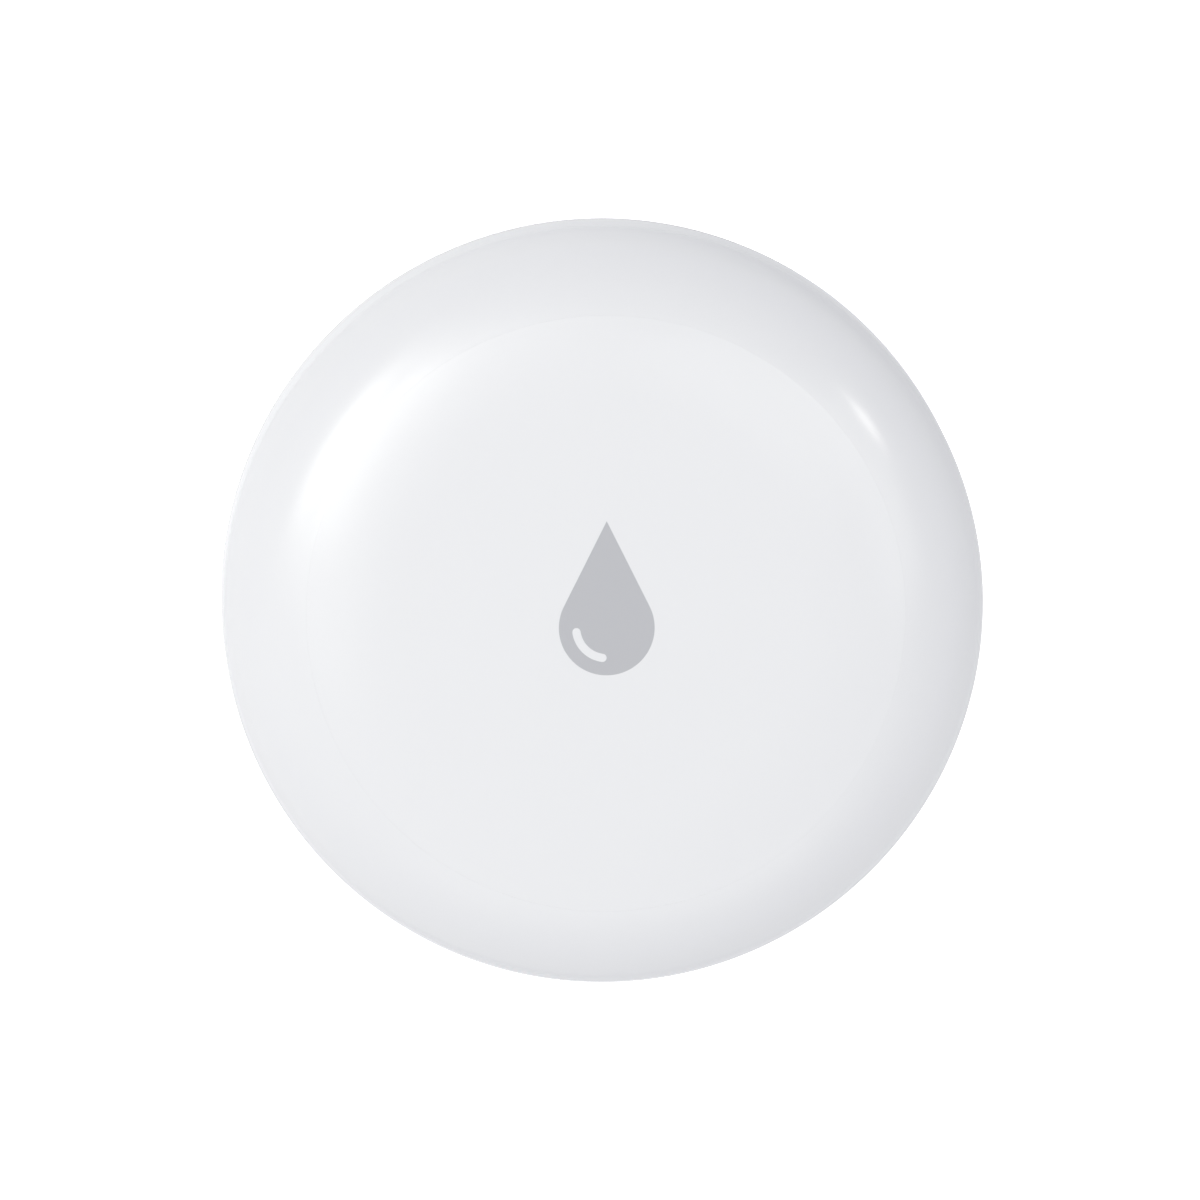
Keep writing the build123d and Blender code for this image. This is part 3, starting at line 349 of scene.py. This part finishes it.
def disc_body():
    """Face with its rim, ribs, centre post and snap hooks, before the drop is let in."""
    radius = rim_radius_mm - rim_gap_mm
    outline = dome_outline(radius, dome_steps)
    recess_top = disc_underside_mm + recess_depth_mm
    outline += [
        (radius, disc_underside_mm),
        (disc_recess_mm, disc_underside_mm),
        (disc_recess_mm, recess_top),
        (post_radius_mm, recess_top),
        (post_radius_mm, recess_top - post_length_mm),
        (0, recess_top - post_length_mm),
    ]
    mesh = lathed(outline, closed=False)
    rib_inner, rib_outer, rib_top = post_radius_mm - join_mm, disc_recess_mm + join_mm, recess_top + join_mm
    rib_sweep = math.degrees(disc_rib_width_mm * 2 / (rib_inner + rib_outer))
    for number in range(disc_rib_count):
        middle = full_turn * number / disc_rib_count
        add_slice(mesh, rib_inner, rib_outer, disc_underside_mm, rib_top, middle, rib_sweep, rib_steps)
    stem_top = disc_underside_mm + join_mm
    lip_top = ledge_bottom_mm - hook_play_mm
    lip_low = lip_top - hook_height_mm
    lip_outer = ledge_inner_mm + hook_reach_mm
    for number in range(hook_count):
        middle = (number + 0.5) * full_turn / hook_count
        add_slice(mesh, hook_inner_mm, hook_outer_mm, lip_low, stem_top, middle, hook_sweep, hook_steps)
        add_slice(mesh, hook_outer_mm - join_mm, lip_outer, lip_low, lip_top, middle, hook_sweep, hook_steps)
    return finished(mesh, "button_disc_skin")


def button_and_drop():
    """The pressed face with the drop let in flush, both carved from one dome."""
    low = overall_height_mm - drop_depth_mm - dome_drop(drop_tip_mm)
    high = overall_height_mm + overrun_mm
    below, above = low - overrun_mm, high + overrun_mm
    disc = disc_body()
    cut_radius = drop_radius_mm + drop_line_mm
    cutter = prism(drop_loop(cut_radius, drop_tip_mm * cut_radius / drop_radius_mm), low, high, "drop_cutter")
    keep = prism(shine_loop(shine_half_mm - drop_line_mm), below, above, "shine_keeper")
    carve(cutter, keep, "DIFFERENCE")
    carve(disc, cutter, "DIFFERENCE")
    reach = drop_tip_mm + drop_margin_mm
    puck = lathed(dome_outline(reach, drop_dome_steps) + [(reach, below), (0, below)], closed=False)
    drop = finished(puck, "drop_symbol_skin")
    shape = prism(drop_loop(drop_radius_mm, drop_tip_mm), low, high, "drop_shape")
    hollow = prism(shine_loop(shine_half_mm), below, above, "shine_hollow")
    carve(shape, hollow, "DIFFERENCE")
    carve(drop, shape, "INTERSECT")
    for piece in (disc, drop):
        smooth(piece.data, carved_crease_angle)
        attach(piece, "button")
    return disc, drop


# Materials. Scales of noise are in cycles for each metre.
noise_low = 0.3
noise_high = 0.7
plastic_ior = 1.48
mix_share, mix_dark, mix_light, mix_result = 0, 6, 7, 2


def shader(name, colour, roughness, metallic=0.0):
    """New material, with its nodes and its surface shader."""
    material = bpy.data.materials.new(name)
    material.use_nodes = True
    tree = material.node_tree
    surface = tree.nodes["Principled BSDF"]
    surface.inputs["Base Color"].default_value = (*colour, 1)
    surface.inputs["Roughness"].default_value = roughness
    surface.inputs["Metallic"].default_value = metallic
    return material, tree, surface


def node(tree, kind, **settings):
    """Adds a node; settings with a known attribute set it, and the rest set sockets by name."""
    made = tree.nodes.new(kind)
    for key, value in settings.items():
        if hasattr(made, key):
            setattr(made, key, value)
        else:
            made.inputs[key.replace("_", " ").title()].default_value = value
    return made


def position(tree, stretch=(1, 1, 1)):
    """Object coordinates, optionally stretched."""
    place = node(tree, "ShaderNodeTexCoord")
    mapping = node(tree, "ShaderNodeMapping", scale=stretch)
    tree.links.new(place.outputs["Object"], mapping.inputs["Vector"])
    return mapping.outputs["Vector"]


def noise(tree, where, scale, detail):
    """Grey noise."""
    made = node(tree, "ShaderNodeTexNoise", scale=scale, detail=detail)
    tree.links.new(where, made.inputs["Vector"])
    return made.outputs["Fac"]


def spread(tree, value, low, high):
    """Maps the usual range of a noise onto a range."""
    ends = {"from_min": noise_low, "from_max": noise_high, "to_min": low, "to_max": high}
    made = node(tree, "ShaderNodeMapRange", **ends)
    tree.links.new(value, made.inputs["Value"])
    return made.outputs["Result"]


def tinted(tree, value, dark, light):
    """Colour between two colours."""
    made = node(tree, "ShaderNodeMix", data_type="RGBA")
    made.inputs[mix_dark].default_value = (*dark, 1)
    made.inputs[mix_light].default_value = (*light, 1)
    tree.links.new(value, made.inputs[mix_share])
    return made.outputs[mix_result]


def scaled(colour, factor):
    """Colour made darker or lighter by a factor."""
    return tuple(min(1.0, channel * factor) for channel in colour)


def tint(tree, surface, value, colour, darker, lighter):
    """Base colour that wanders between a darker and a lighter tone of one colour."""
    tone = tinted(tree, value, scaled(colour, darker), scaled(colour, lighter))
    tree.links.new(tone, surface.inputs["Base Color"])


def glossed(tree, surface, value, low, high):
    """Roughness that wanders between two values."""
    tree.links.new(spread(tree, value, low, high), surface.inputs["Roughness"])


def bumped(tree, surface, height, strength, depth_mm, edge_mm=0.0):
    """Fine relief, with edges rounded where a radius is given for them."""
    bump = node(tree, "ShaderNodeBump", strength=strength, distance=depth_mm * MM)
    tree.links.new(height, bump.inputs["Height"])
    if edge_mm:
        edge = node(tree, "ShaderNodeBevel", samples=4, radius=edge_mm * MM)
        tree.links.new(edge.outputs["Normal"], bump.inputs["Normal"])
    tree.links.new(bump.outputs["Normal"], surface.inputs["Normal"])


def plastic(name, colour, roughness, grain, depth_mm, patch, edge_mm):
    """Moulded plastic: slight tone and gloss patches, and a moulded grain."""
    material, tree, surface = shader(name, colour, roughness)
    surface.inputs["IOR"].default_value = plastic_ior
    where = position(tree)
    broad = noise(tree, where, scale=90, detail=3)
    fine = noise(tree, where, scale=grain, detail=2)
    tint(tree, surface, broad, colour, darker=1 - patch, lighter=1 + patch)
    glossed(tree, surface, broad, low=roughness - 0.02, high=roughness + 0.02)
    bumped(tree, surface, fine, strength=0.3, depth_mm=depth_mm, edge_mm=edge_mm)
    return material


def rubber(name, colour, roughness):
    """Silicone: soft sheen with fine dust-like mottling."""
    material, tree, surface = shader(name, colour, roughness)
    surface.inputs["Sheen Weight"].default_value = 0.15
    surface.inputs["Sheen Roughness"].default_value = 0.4
    fine = noise(tree, position(tree), scale=5200, detail=3)
    tint(tree, surface, fine, colour, darker=0.92, lighter=1.08)
    glossed(tree, surface, fine, low=roughness - 0.05, high=roughness + 0.08)
    bumped(tree, surface, fine, strength=0.25, depth_mm=0.02, edge_mm=0.08)
    return material


def metal(name, colour, roughness, stretch, scale, edge_mm):
    """Metal with fine lines in the direction that the stretch leaves long."""
    material, tree, surface = shader(name, colour, roughness, metallic=1.0)
    lines = noise(tree, position(tree, stretch), scale=scale, detail=4)
    cloud = noise(tree, position(tree), scale=500, detail=2)
    tint(tree, surface, cloud, colour, darker=0.93, lighter=1.04)
    glossed(tree, surface, lines, low=roughness - 0.07, high=roughness + 0.09)
    bumped(tree, surface, lines, strength=0.2, depth_mm=0.01, edge_mm=edge_mm)
    return material


def nearest_axis(tree, centres):
    """Distance to the nearest of some upright axes."""
    place = node(tree, "ShaderNodeTexCoord")
    split = node(tree, "ShaderNodeSeparateXYZ")
    tree.links.new(place.outputs["Object"], split.inputs[0])
    nearest = None
    for x, y in centres:
        joined = node(tree, "ShaderNodeCombineXYZ")
        for axis, shift in (("X", x), ("Y", y)):
            moved = node(tree, "ShaderNodeMath", operation="SUBTRACT")
            tree.links.new(split.outputs[axis], moved.inputs[0])
            moved.inputs[1].default_value = shift
            tree.links.new(moved.outputs[0], joined.inputs[axis])
        length = node(tree, "ShaderNodeVectorMath", operation="LENGTH")
        tree.links.new(joined.outputs[0], length.inputs[0])
        reach = length.outputs["Value"]
        if nearest is not None:
            nearer = node(tree, "ShaderNodeMath", operation="MINIMUM")
            tree.links.new(nearest, nearer.inputs[0])
            tree.links.new(reach, nearer.inputs[1])
            reach = nearer.outputs[0]
        nearest = reach
    return nearest


def turned_metal(name, colour, roughness, centres):
    """Metal with turning marks that run round upright axes."""
    material, tree, surface = shader(name, colour, roughness, metallic=1.0)
    rings = node(tree, "ShaderNodeTexNoise", noise_dimensions="1D", scale=9000, detail=3)
    tree.links.new(nearest_axis(tree, centres), rings.inputs["W"])
    marks = rings.outputs["Fac"]
    cloud = noise(tree, position(tree), scale=700, detail=2)
    tint(tree, surface, cloud, colour, darker=0.92, lighter=1.05)
    glossed(tree, surface, marks, low=roughness - 0.06, high=roughness + 0.1)
    bumped(tree, surface, marks, strength=0.25, depth_mm=0.008, edge_mm=0.06)
    return material


def board_mask(name, colour, roughness):
    """Solder mask: glass weave below, copper planes showing as a lighter tone."""
    material, tree, surface = shader(name, colour, roughness)
    surface.inputs["Coat Weight"].default_value = 0.3
    surface.inputs["Coat Roughness"].default_value = 0.2
    where = position(tree)
    weave = node(tree, "ShaderNodeTexChecker", scale=1500)
    tree.links.new(where, weave.inputs["Vector"])
    planes = node(tree, "ShaderNodeTexVoronoi", feature="F1", distance="CHEBYCHEV", scale=210)
    tree.links.new(where, planes.inputs["Vector"])
    edges = {"from_min": 0.1, "from_max": 0.55}
    copper = node(tree, "ShaderNodeMapRange", interpolation_type="STEPPED", steps=1, **edges)
    tree.links.new(planes.outputs["Distance"], copper.inputs["Value"])
    over_copper = scaled(colour, 1.5)
    base = tinted(tree, copper.outputs["Result"], over_copper, colour)
    tree.links.new(base, surface.inputs["Base Color"])
    height = node(tree, "ShaderNodeMath", operation="MULTIPLY_ADD")
    tree.links.new(weave.outputs["Fac"], height.inputs[0])
    weave_share = 0.15
    height.inputs[1].default_value = weave_share
    tree.links.new(copper.outputs["Result"], height.inputs[2])
    bumped(tree, surface, height.outputs[0], strength=0.3, depth_mm=0.03)
    return material


def ceramic(name, colour, roughness):
    """Small chip part: body colour with a fine speckle, and rounded edges."""
    material, tree, surface = shader(name, colour, roughness)
    speckle = noise(tree, position(tree), scale=9000, detail=3)
    tint(tree, surface, speckle, colour, darker=0.85, lighter=1.15)
    glossed(tree, surface, speckle, low=roughness - 0.06, high=roughness + 0.08)
    bumped(tree, surface, speckle, strength=0.2, depth_mm=0.01, edge_mm=0.05)
    return material


gloss_white = (0.795, 0.80, 0.81)
matt_white = (0.78, 0.785, 0.79)
part_black = (0.022, 0.022, 0.024)
no_lines, close_lines, wide_lines = (1, 1, 1), (1, 12, 1), (1, 8, 1)
sensor_axis = ((0, 0),)
probe_axes = ((0.018, 0), (-0.018, 0))

# Colour, roughness, grain, depth of the grain in mm, share by which the tone wanders, rounding of edges in mm
plastics = {
    "shell_white_gloss": (gloss_white, 0.2, 2400, 0.002, 0.004, 0),
    "disc_white_gloss": (gloss_white, 0.2, 2400, 0.002, 0.004, 0),
    "drop_grey_gloss": ((0.483, 0.488, 0.508), 0.3, 2800, 0.003, 0.006, 0),
    "base_white_matt": (matt_white, 0.46, 3600, 0.02, 0.01, 0.1),
    "cover_white_matt": (matt_white, 0.44, 3600, 0.02, 0.01, 0.1),
    "cell_gasket_dark": ((0.25, 0.25, 0.25), 0.5, 5000, 0.01, 0.05, 0.03),
    "cell_filling_black": ((0.06, 0.06, 0.06), 0.8, 4000, 0.02, 0.1, 0),
    "holder_black_matt": ((0.025, 0.025, 0.028), 0.42, 4200, 0.01, 0.08, 0.08),
    "chip_black_epoxy": (part_black, 0.55, 9000, 0.008, 0.15, 0.05),
    "switch_black_moulded": (part_black, 0.4, 7000, 0.006, 0.1, 0.05),
    "plunger_black_moulded": ((0.03, 0.03, 0.032), 0.35, 7000, 0.005, 0.1, 0),
    "lamp_pale_lens": ((0.85, 0.84, 0.78), 0.18, 8000, 0.003, 0.02, 0.04),
}
# Colour, roughness
rubbers = {
    "seal_grey_silicone": ((0.3, 0.31, 0.32), 0.55),
    "seal_pale_silicone": ((0.62, 0.63, 0.64), 0.4),
}
# Colour, roughness, how much closer the grain lies along X, Y and Z, its scale, rounding of edges in mm
metals = {
    "fastener_steel": ((0.6, 0.59, 0.57), 0.3, no_lines, 4000, 0.05),
    "spring_strip_nickel": ((0.72, 0.7, 0.66), 0.27, close_lines, 3000, 0.05),
    "aerial_gold_plate": ((0.75, 0.52, 0.25), 0.25, no_lines, 6000, 0),
    "crystal_lid_metal": ((0.6, 0.55, 0.42), 0.3, wide_lines, 5000, 0.05),
}
# Colour, roughness, axes that the marks run round
turned_metals = {
    "probe_steel_turned": ((0.66, 0.65, 0.63), 0.24, probe_axes),
    "insert_brass_turned": ((0.78, 0.6, 0.3), 0.28, probe_axes),
    "cell_steel_spun": ((0.7, 0.7, 0.69), 0.25, sensor_axis),
}
# Colour, roughness
masks = {"board_green_mask": ((0.018, 0.105, 0.045), 0.32)}
ceramics = {
    "capacitor_tan_ceramic": ((0.42, 0.3, 0.19), 0.42),
    "resistor_black_film": ((0.03, 0.03, 0.035), 0.42),
}
looks = {}
for make, table in (
    (plastic, plastics), (rubber, rubbers), (metal, metals), (turned_metal, turned_metals),
    (board_mask, masks), (ceramic, ceramics),
):
    for name, values in table.items():
        looks[name] = make(name, *values)

node_looks = {
    "top_shell": "shell_white_gloss", "button_disc": "disc_white_gloss", "drop_symbol": "drop_grey_gloss",
    "button_seal": "seal_pale_silicone", "base_shell": "base_white_matt",
    "housing_seal": "seal_grey_silicone", "battery_cover": "cover_white_matt",
    "battery_cover_seal": "seal_grey_silicone", "coin_cell_can": "cell_steel_spun",
    "coin_cell_gasket": "cell_gasket_dark", "coin_cell_cap": "cell_steel_spun",
    "coin_cell_filling": "cell_filling_black",
    "battery_holder": "holder_black_matt", "negative_contact": "spring_strip_nickel",
    "positive_contact": "spring_strip_nickel", "probe_screw_right": "probe_steel_turned",
    "probe_screw_left": "probe_steel_turned", "probe_inserts": "insert_brass_turned",
    "probe_seals": "seal_grey_silicone", "probe_contact_right": "spring_strip_nickel",
    "probe_contact_left": "spring_strip_nickel", "circuit_board": "board_green_mask",
    "board_screws": "fastener_steel", "antenna_trace": "aerial_gold_plate",
    "switch_housing": "switch_black_moulded", "switch_cover_plate": "spring_strip_nickel",
    "switch_dome": "spring_strip_nickel", "switch_plunger": "plunger_black_moulded",
    "switch_legs": "spring_strip_nickel", "radio_chip": "chip_black_epoxy", "crystal": "crystal_lid_metal",
    "flash_memory": "chip_black_epoxy", "voltage_regulator": "chip_black_epoxy",
    "buffer_capacitor": "capacitor_tan_ceramic", "status_led": "lamp_pale_lens",
    "ceramic_capacitors": "capacitor_tan_ceramic", "chip_resistors": "resistor_black_film",
}
for name, look in node_looks.items():
    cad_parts[name].material_slots[0].material = looks[look]

shell = top_shell()
disc, drop = button_and_drop()
for piece, look, replaced, slot in (
    (shell, "shell_white_gloss", "top_shell", "shell_white"),
    (disc, "disc_white_gloss", "button_disc", "disc_white"),
    (drop, "drop_grey_gloss", "drop_symbol", "drop_grey"),
):
    piece.data.materials.clear()
    piece.data.materials.append(looks[look])
    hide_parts(replaced)


# Camera, nearly square on from above, as the photograph was taken: the picture's width at the sensor in
# metres, a long lens in millimetres, degrees by which the camera stands towards +X and +Y, and its target
field = 0.07897
focal_length = 600
film_width = 36
camera_sight = 20
camera_turns = (-2.1, 6.5)
camera_target = Vector((-0.0001, 0.0, 0.0057))


def aim(thing, place, target, up):
    """Puts a thing at a place, looking at a target, with up towards the top of its picture."""
    back = (place - target).normalized()
    right = up.cross(back).normalized()
    top = back.cross(right)
    thing.matrix_world = Matrix((
        (right.x, top.x, back.x, place.x),
        (right.y, top.y, back.y, place.y),
        (right.z, top.z, back.z, place.z),
        (0, 0, 0, 1),
    ))


def photo_camera():
    """Camera that sees the sensor as the photograph does."""
    data = bpy.data.cameras.new("photo_camera")
    data.lens = focal_length
    data.sensor_width = film_width
    data.clip_end = camera_sight
    camera = linked("photo_camera", data)
    turn_x, turn_y = (math.radians(turn) for turn in camera_turns)
    way = Vector((math.tan(turn_x), math.tan(turn_y), 1)).normalized()
    place = camera_target + way * field * focal_length / film_width
    aim(camera, place, camera_target, Vector((0, 1, 0)))
    bpy.context.scene.camera = camera


photo_camera()


# Studio: a pale floor, a white surround and soft lamps. Tones are red, green and blue, where 1 is the white
# of the picture. In gloss the floor shows a painted reflected light: it glows brightest towards one direction
# round the sensor, in degrees.
floor_reach = 3.0
floor_pale = (0.85, 0.85, 0.85)
floor_roughness = 0.9
floor_glow = 0.72
# Painted reflected light: the floor's glow as gloss sees it, and how much it rises towards one direction.
floor_reflection_tone = (0.885, 0.895, 0.91)
painted_reflection_change = 0.206
painted_reflection_azimuth = 201
surround_white = (1, 1, 1)
surround_below = (0.96, 0.963, 0.992)
surround_above = (0.302, 0.305, 0.356)
surround_gloss = (0.93, 0.94, 1.06)
horizon_blend = 0.05
lamp_distance = 1.0
lamp_target = Vector((0, 0, 0.01))
lamp_colour = (1.0, 1.0, 0.942)

# Name, direction round the sensor and height in degrees, width, height, power in watts, shown in reflections
lamps = (
    ("key_wide", 151, 54, 0.95, 0.90, 2.23, True),
    ("key_middle", 151, 47, 0.60, 0.46, 1.63, True),
    ("key_upper", 151, 61, 0.42, 0.30, 1.47, True),
    ("key_lower", 152, 40, 0.36, 0.16, 0.81, True),
    ("right_wide", 15, 50, 0.50, 0.50, 0.85, True),
    ("right_upper", 40, 68, 0.36, 0.36, 0.39, True),
    ("right_glint", 29, 34, 0.11, 0.06, 0.33, True),
    ("south_fill", 275, 42, 1.00, 0.36, 2.0, False),
    ("east_fill", 345, 14, 0.80, 0.34, 0.95, False),
    ("south_east_fill", 320, 42, 0.60, 0.36, 0.74, False),
    ("west_fill", 190, 20, 0.60, 0.34, 0.64, False),
)


def lamp(name, azimuth, elevation, width, height, power, mirrored):
    """Soft rectangular lamp that faces the sensor, with its width level."""
    data = bpy.data.lights.new(name, "AREA")
    data.shape = "RECTANGLE"
    data.size = width
    data.size_y = height
    data.energy = power
    data.color = lamp_colour
    made = linked(name, data)
    made.visible_camera = False
    made.visible_glossy = mirrored
    turn, rise = math.radians(azimuth), math.radians(elevation)
    way = Vector((math.cos(rise) * math.cos(turn), math.cos(rise) * math.sin(turn), math.sin(rise)))
    aim(made, way * lamp_distance, lamp_target, Vector((0, 0, 1)))


def blend_shaders(tree, mask, where_off, where_on):
    """One shader where a mask is off and another where it is on."""
    mix = node(tree, "ShaderNodeMixShader")
    tree.links.new(mask, mix.inputs[0])
    tree.links.new(where_off, mix.inputs[1])
    tree.links.new(where_on, mix.inputs[2])
    return mix.outputs[0]


def towards_azimuth(tree, place, azimuth):
    """From -1 to 1, how far a place lies towards a direction round the origin."""
    way = math.radians(azimuth)
    spot = node(tree, "ShaderNodeVectorMath", operation="NORMALIZE")
    tree.links.new(place, spot.inputs[0])
    towards = node(tree, "ShaderNodeVectorMath", operation="DOT_PRODUCT")
    towards.inputs[1].default_value = (math.cos(way), math.sin(way), 0)
    tree.links.new(spot.outputs["Vector"], towards.inputs[0])
    return towards.outputs["Value"]


def floor():
    """Plain pale floor: it keeps a faint shadow, and is clear from below, so that the underside shows. In
    gloss it glows with a painted reflected light, brighter towards one side.
    """
    data = bpy.data.meshes.new("studio_floor")
    sides = ((-1, -1), (1, -1), (1, 1), (-1, 1))
    corners = [(across * floor_reach, along * floor_reach, 0) for across, along in sides]
    data.from_pydata(corners, [], [(0, 1, 2, 3)])
    piece = linked("studio_floor", data)
    material, tree, surface = shader("studio_floor_pale", floor_pale, floor_roughness)
    surface.inputs["Specular IOR Level"].default_value = 0.0
    cloud = noise(tree, position(tree), scale=60, detail=2)
    tint(tree, surface, cloud, floor_pale, darker=0.994, lighter=1.006)
    path = node(tree, "ShaderNodeLightPath")
    side = node(tree, "ShaderNodeNewGeometry")
    clear = node(tree, "ShaderNodeBsdfTransparent")
    glow = node(tree, "ShaderNodeEmission", strength=floor_glow)
    lit = node(tree, "ShaderNodeAddShader")
    tree.links.new(surface.outputs[0], lit.inputs[0])
    tree.links.new(glow.outputs[0], lit.inputs[1])
    # Painted reflected light: seen in gloss, the floor glows, brighter towards one direction round the
    # sensor.
    mirror = node(tree, "ShaderNodeEmission")
    mirror.inputs["Color"].default_value = (*floor_reflection_tone, 1)
    bright = node(tree, "ShaderNodeMath", operation="MULTIPLY_ADD")
    bright.inputs[1].default_value = painted_reflection_change
    bright.inputs[2].default_value = 1.0
    towards = towards_azimuth(tree, side.outputs["Position"], painted_reflection_azimuth)
    tree.links.new(towards, bright.inputs[0])
    tree.links.new(bright.outputs["Value"], mirror.inputs["Strength"])
    seen = blend_shaders(tree, path.outputs["Is Glossy Ray"], lit.outputs[0], mirror.outputs[0])
    for ray in (path.outputs["Is Diffuse Ray"], path.outputs["Is Shadow Ray"], side.outputs["Backfacing"]):
        seen = blend_shaders(tree, ray, seen, clear.outputs[0])
    tree.links.new(seen, tree.nodes["Material Output"].inputs[0])
    material.cycles.emission_sampling = "NONE"
    data.materials.append(material)


def surround():
    """White surround: its upper and lower halves and what gloss mirrors have tones of their own."""
    world = bpy.data.worlds.new("studio_surround")
    bpy.context.scene.world = world
    world.use_nodes = True
    tree = world.node_tree
    light = tree.nodes["Background"]
    place = node(tree, "ShaderNodeTexCoord")
    split = node(tree, "ShaderNodeSeparateXYZ")
    tree.links.new(place.outputs["Generated"], split.inputs[0])
    height = node(tree, "ShaderNodeMapRange", from_min=-horizon_blend, from_max=horizon_blend)
    tree.links.new(split.outputs["Z"], height.inputs["Value"])
    tone = tinted(tree, height.outputs["Result"], surround_below, surround_above)
    tree.links.new(tone, light.inputs["Color"])
    mirror = node(tree, "ShaderNodeBackground")
    mirror.inputs["Color"].default_value = (*surround_gloss, 1)
    white = node(tree, "ShaderNodeBackground")
    white.inputs["Color"].default_value = (*surround_white, 1)
    path = node(tree, "ShaderNodeLightPath")
    seen = blend_shaders(tree, path.outputs["Is Glossy Ray"], light.outputs[0], mirror.outputs[0])
    seen = blend_shaders(tree, path.outputs["Is Camera Ray"], seen, white.outputs[0])
    tree.links.new(seen, tree.nodes["World Output"].inputs[0])


floor()
surround()
for name, azimuth, elevation, width, height, power, mirrored in lamps:
    lamp(name, azimuth, elevation, width, height, power, mirrored)
bpy.context.scene.view_settings.view_transform = "Standard"
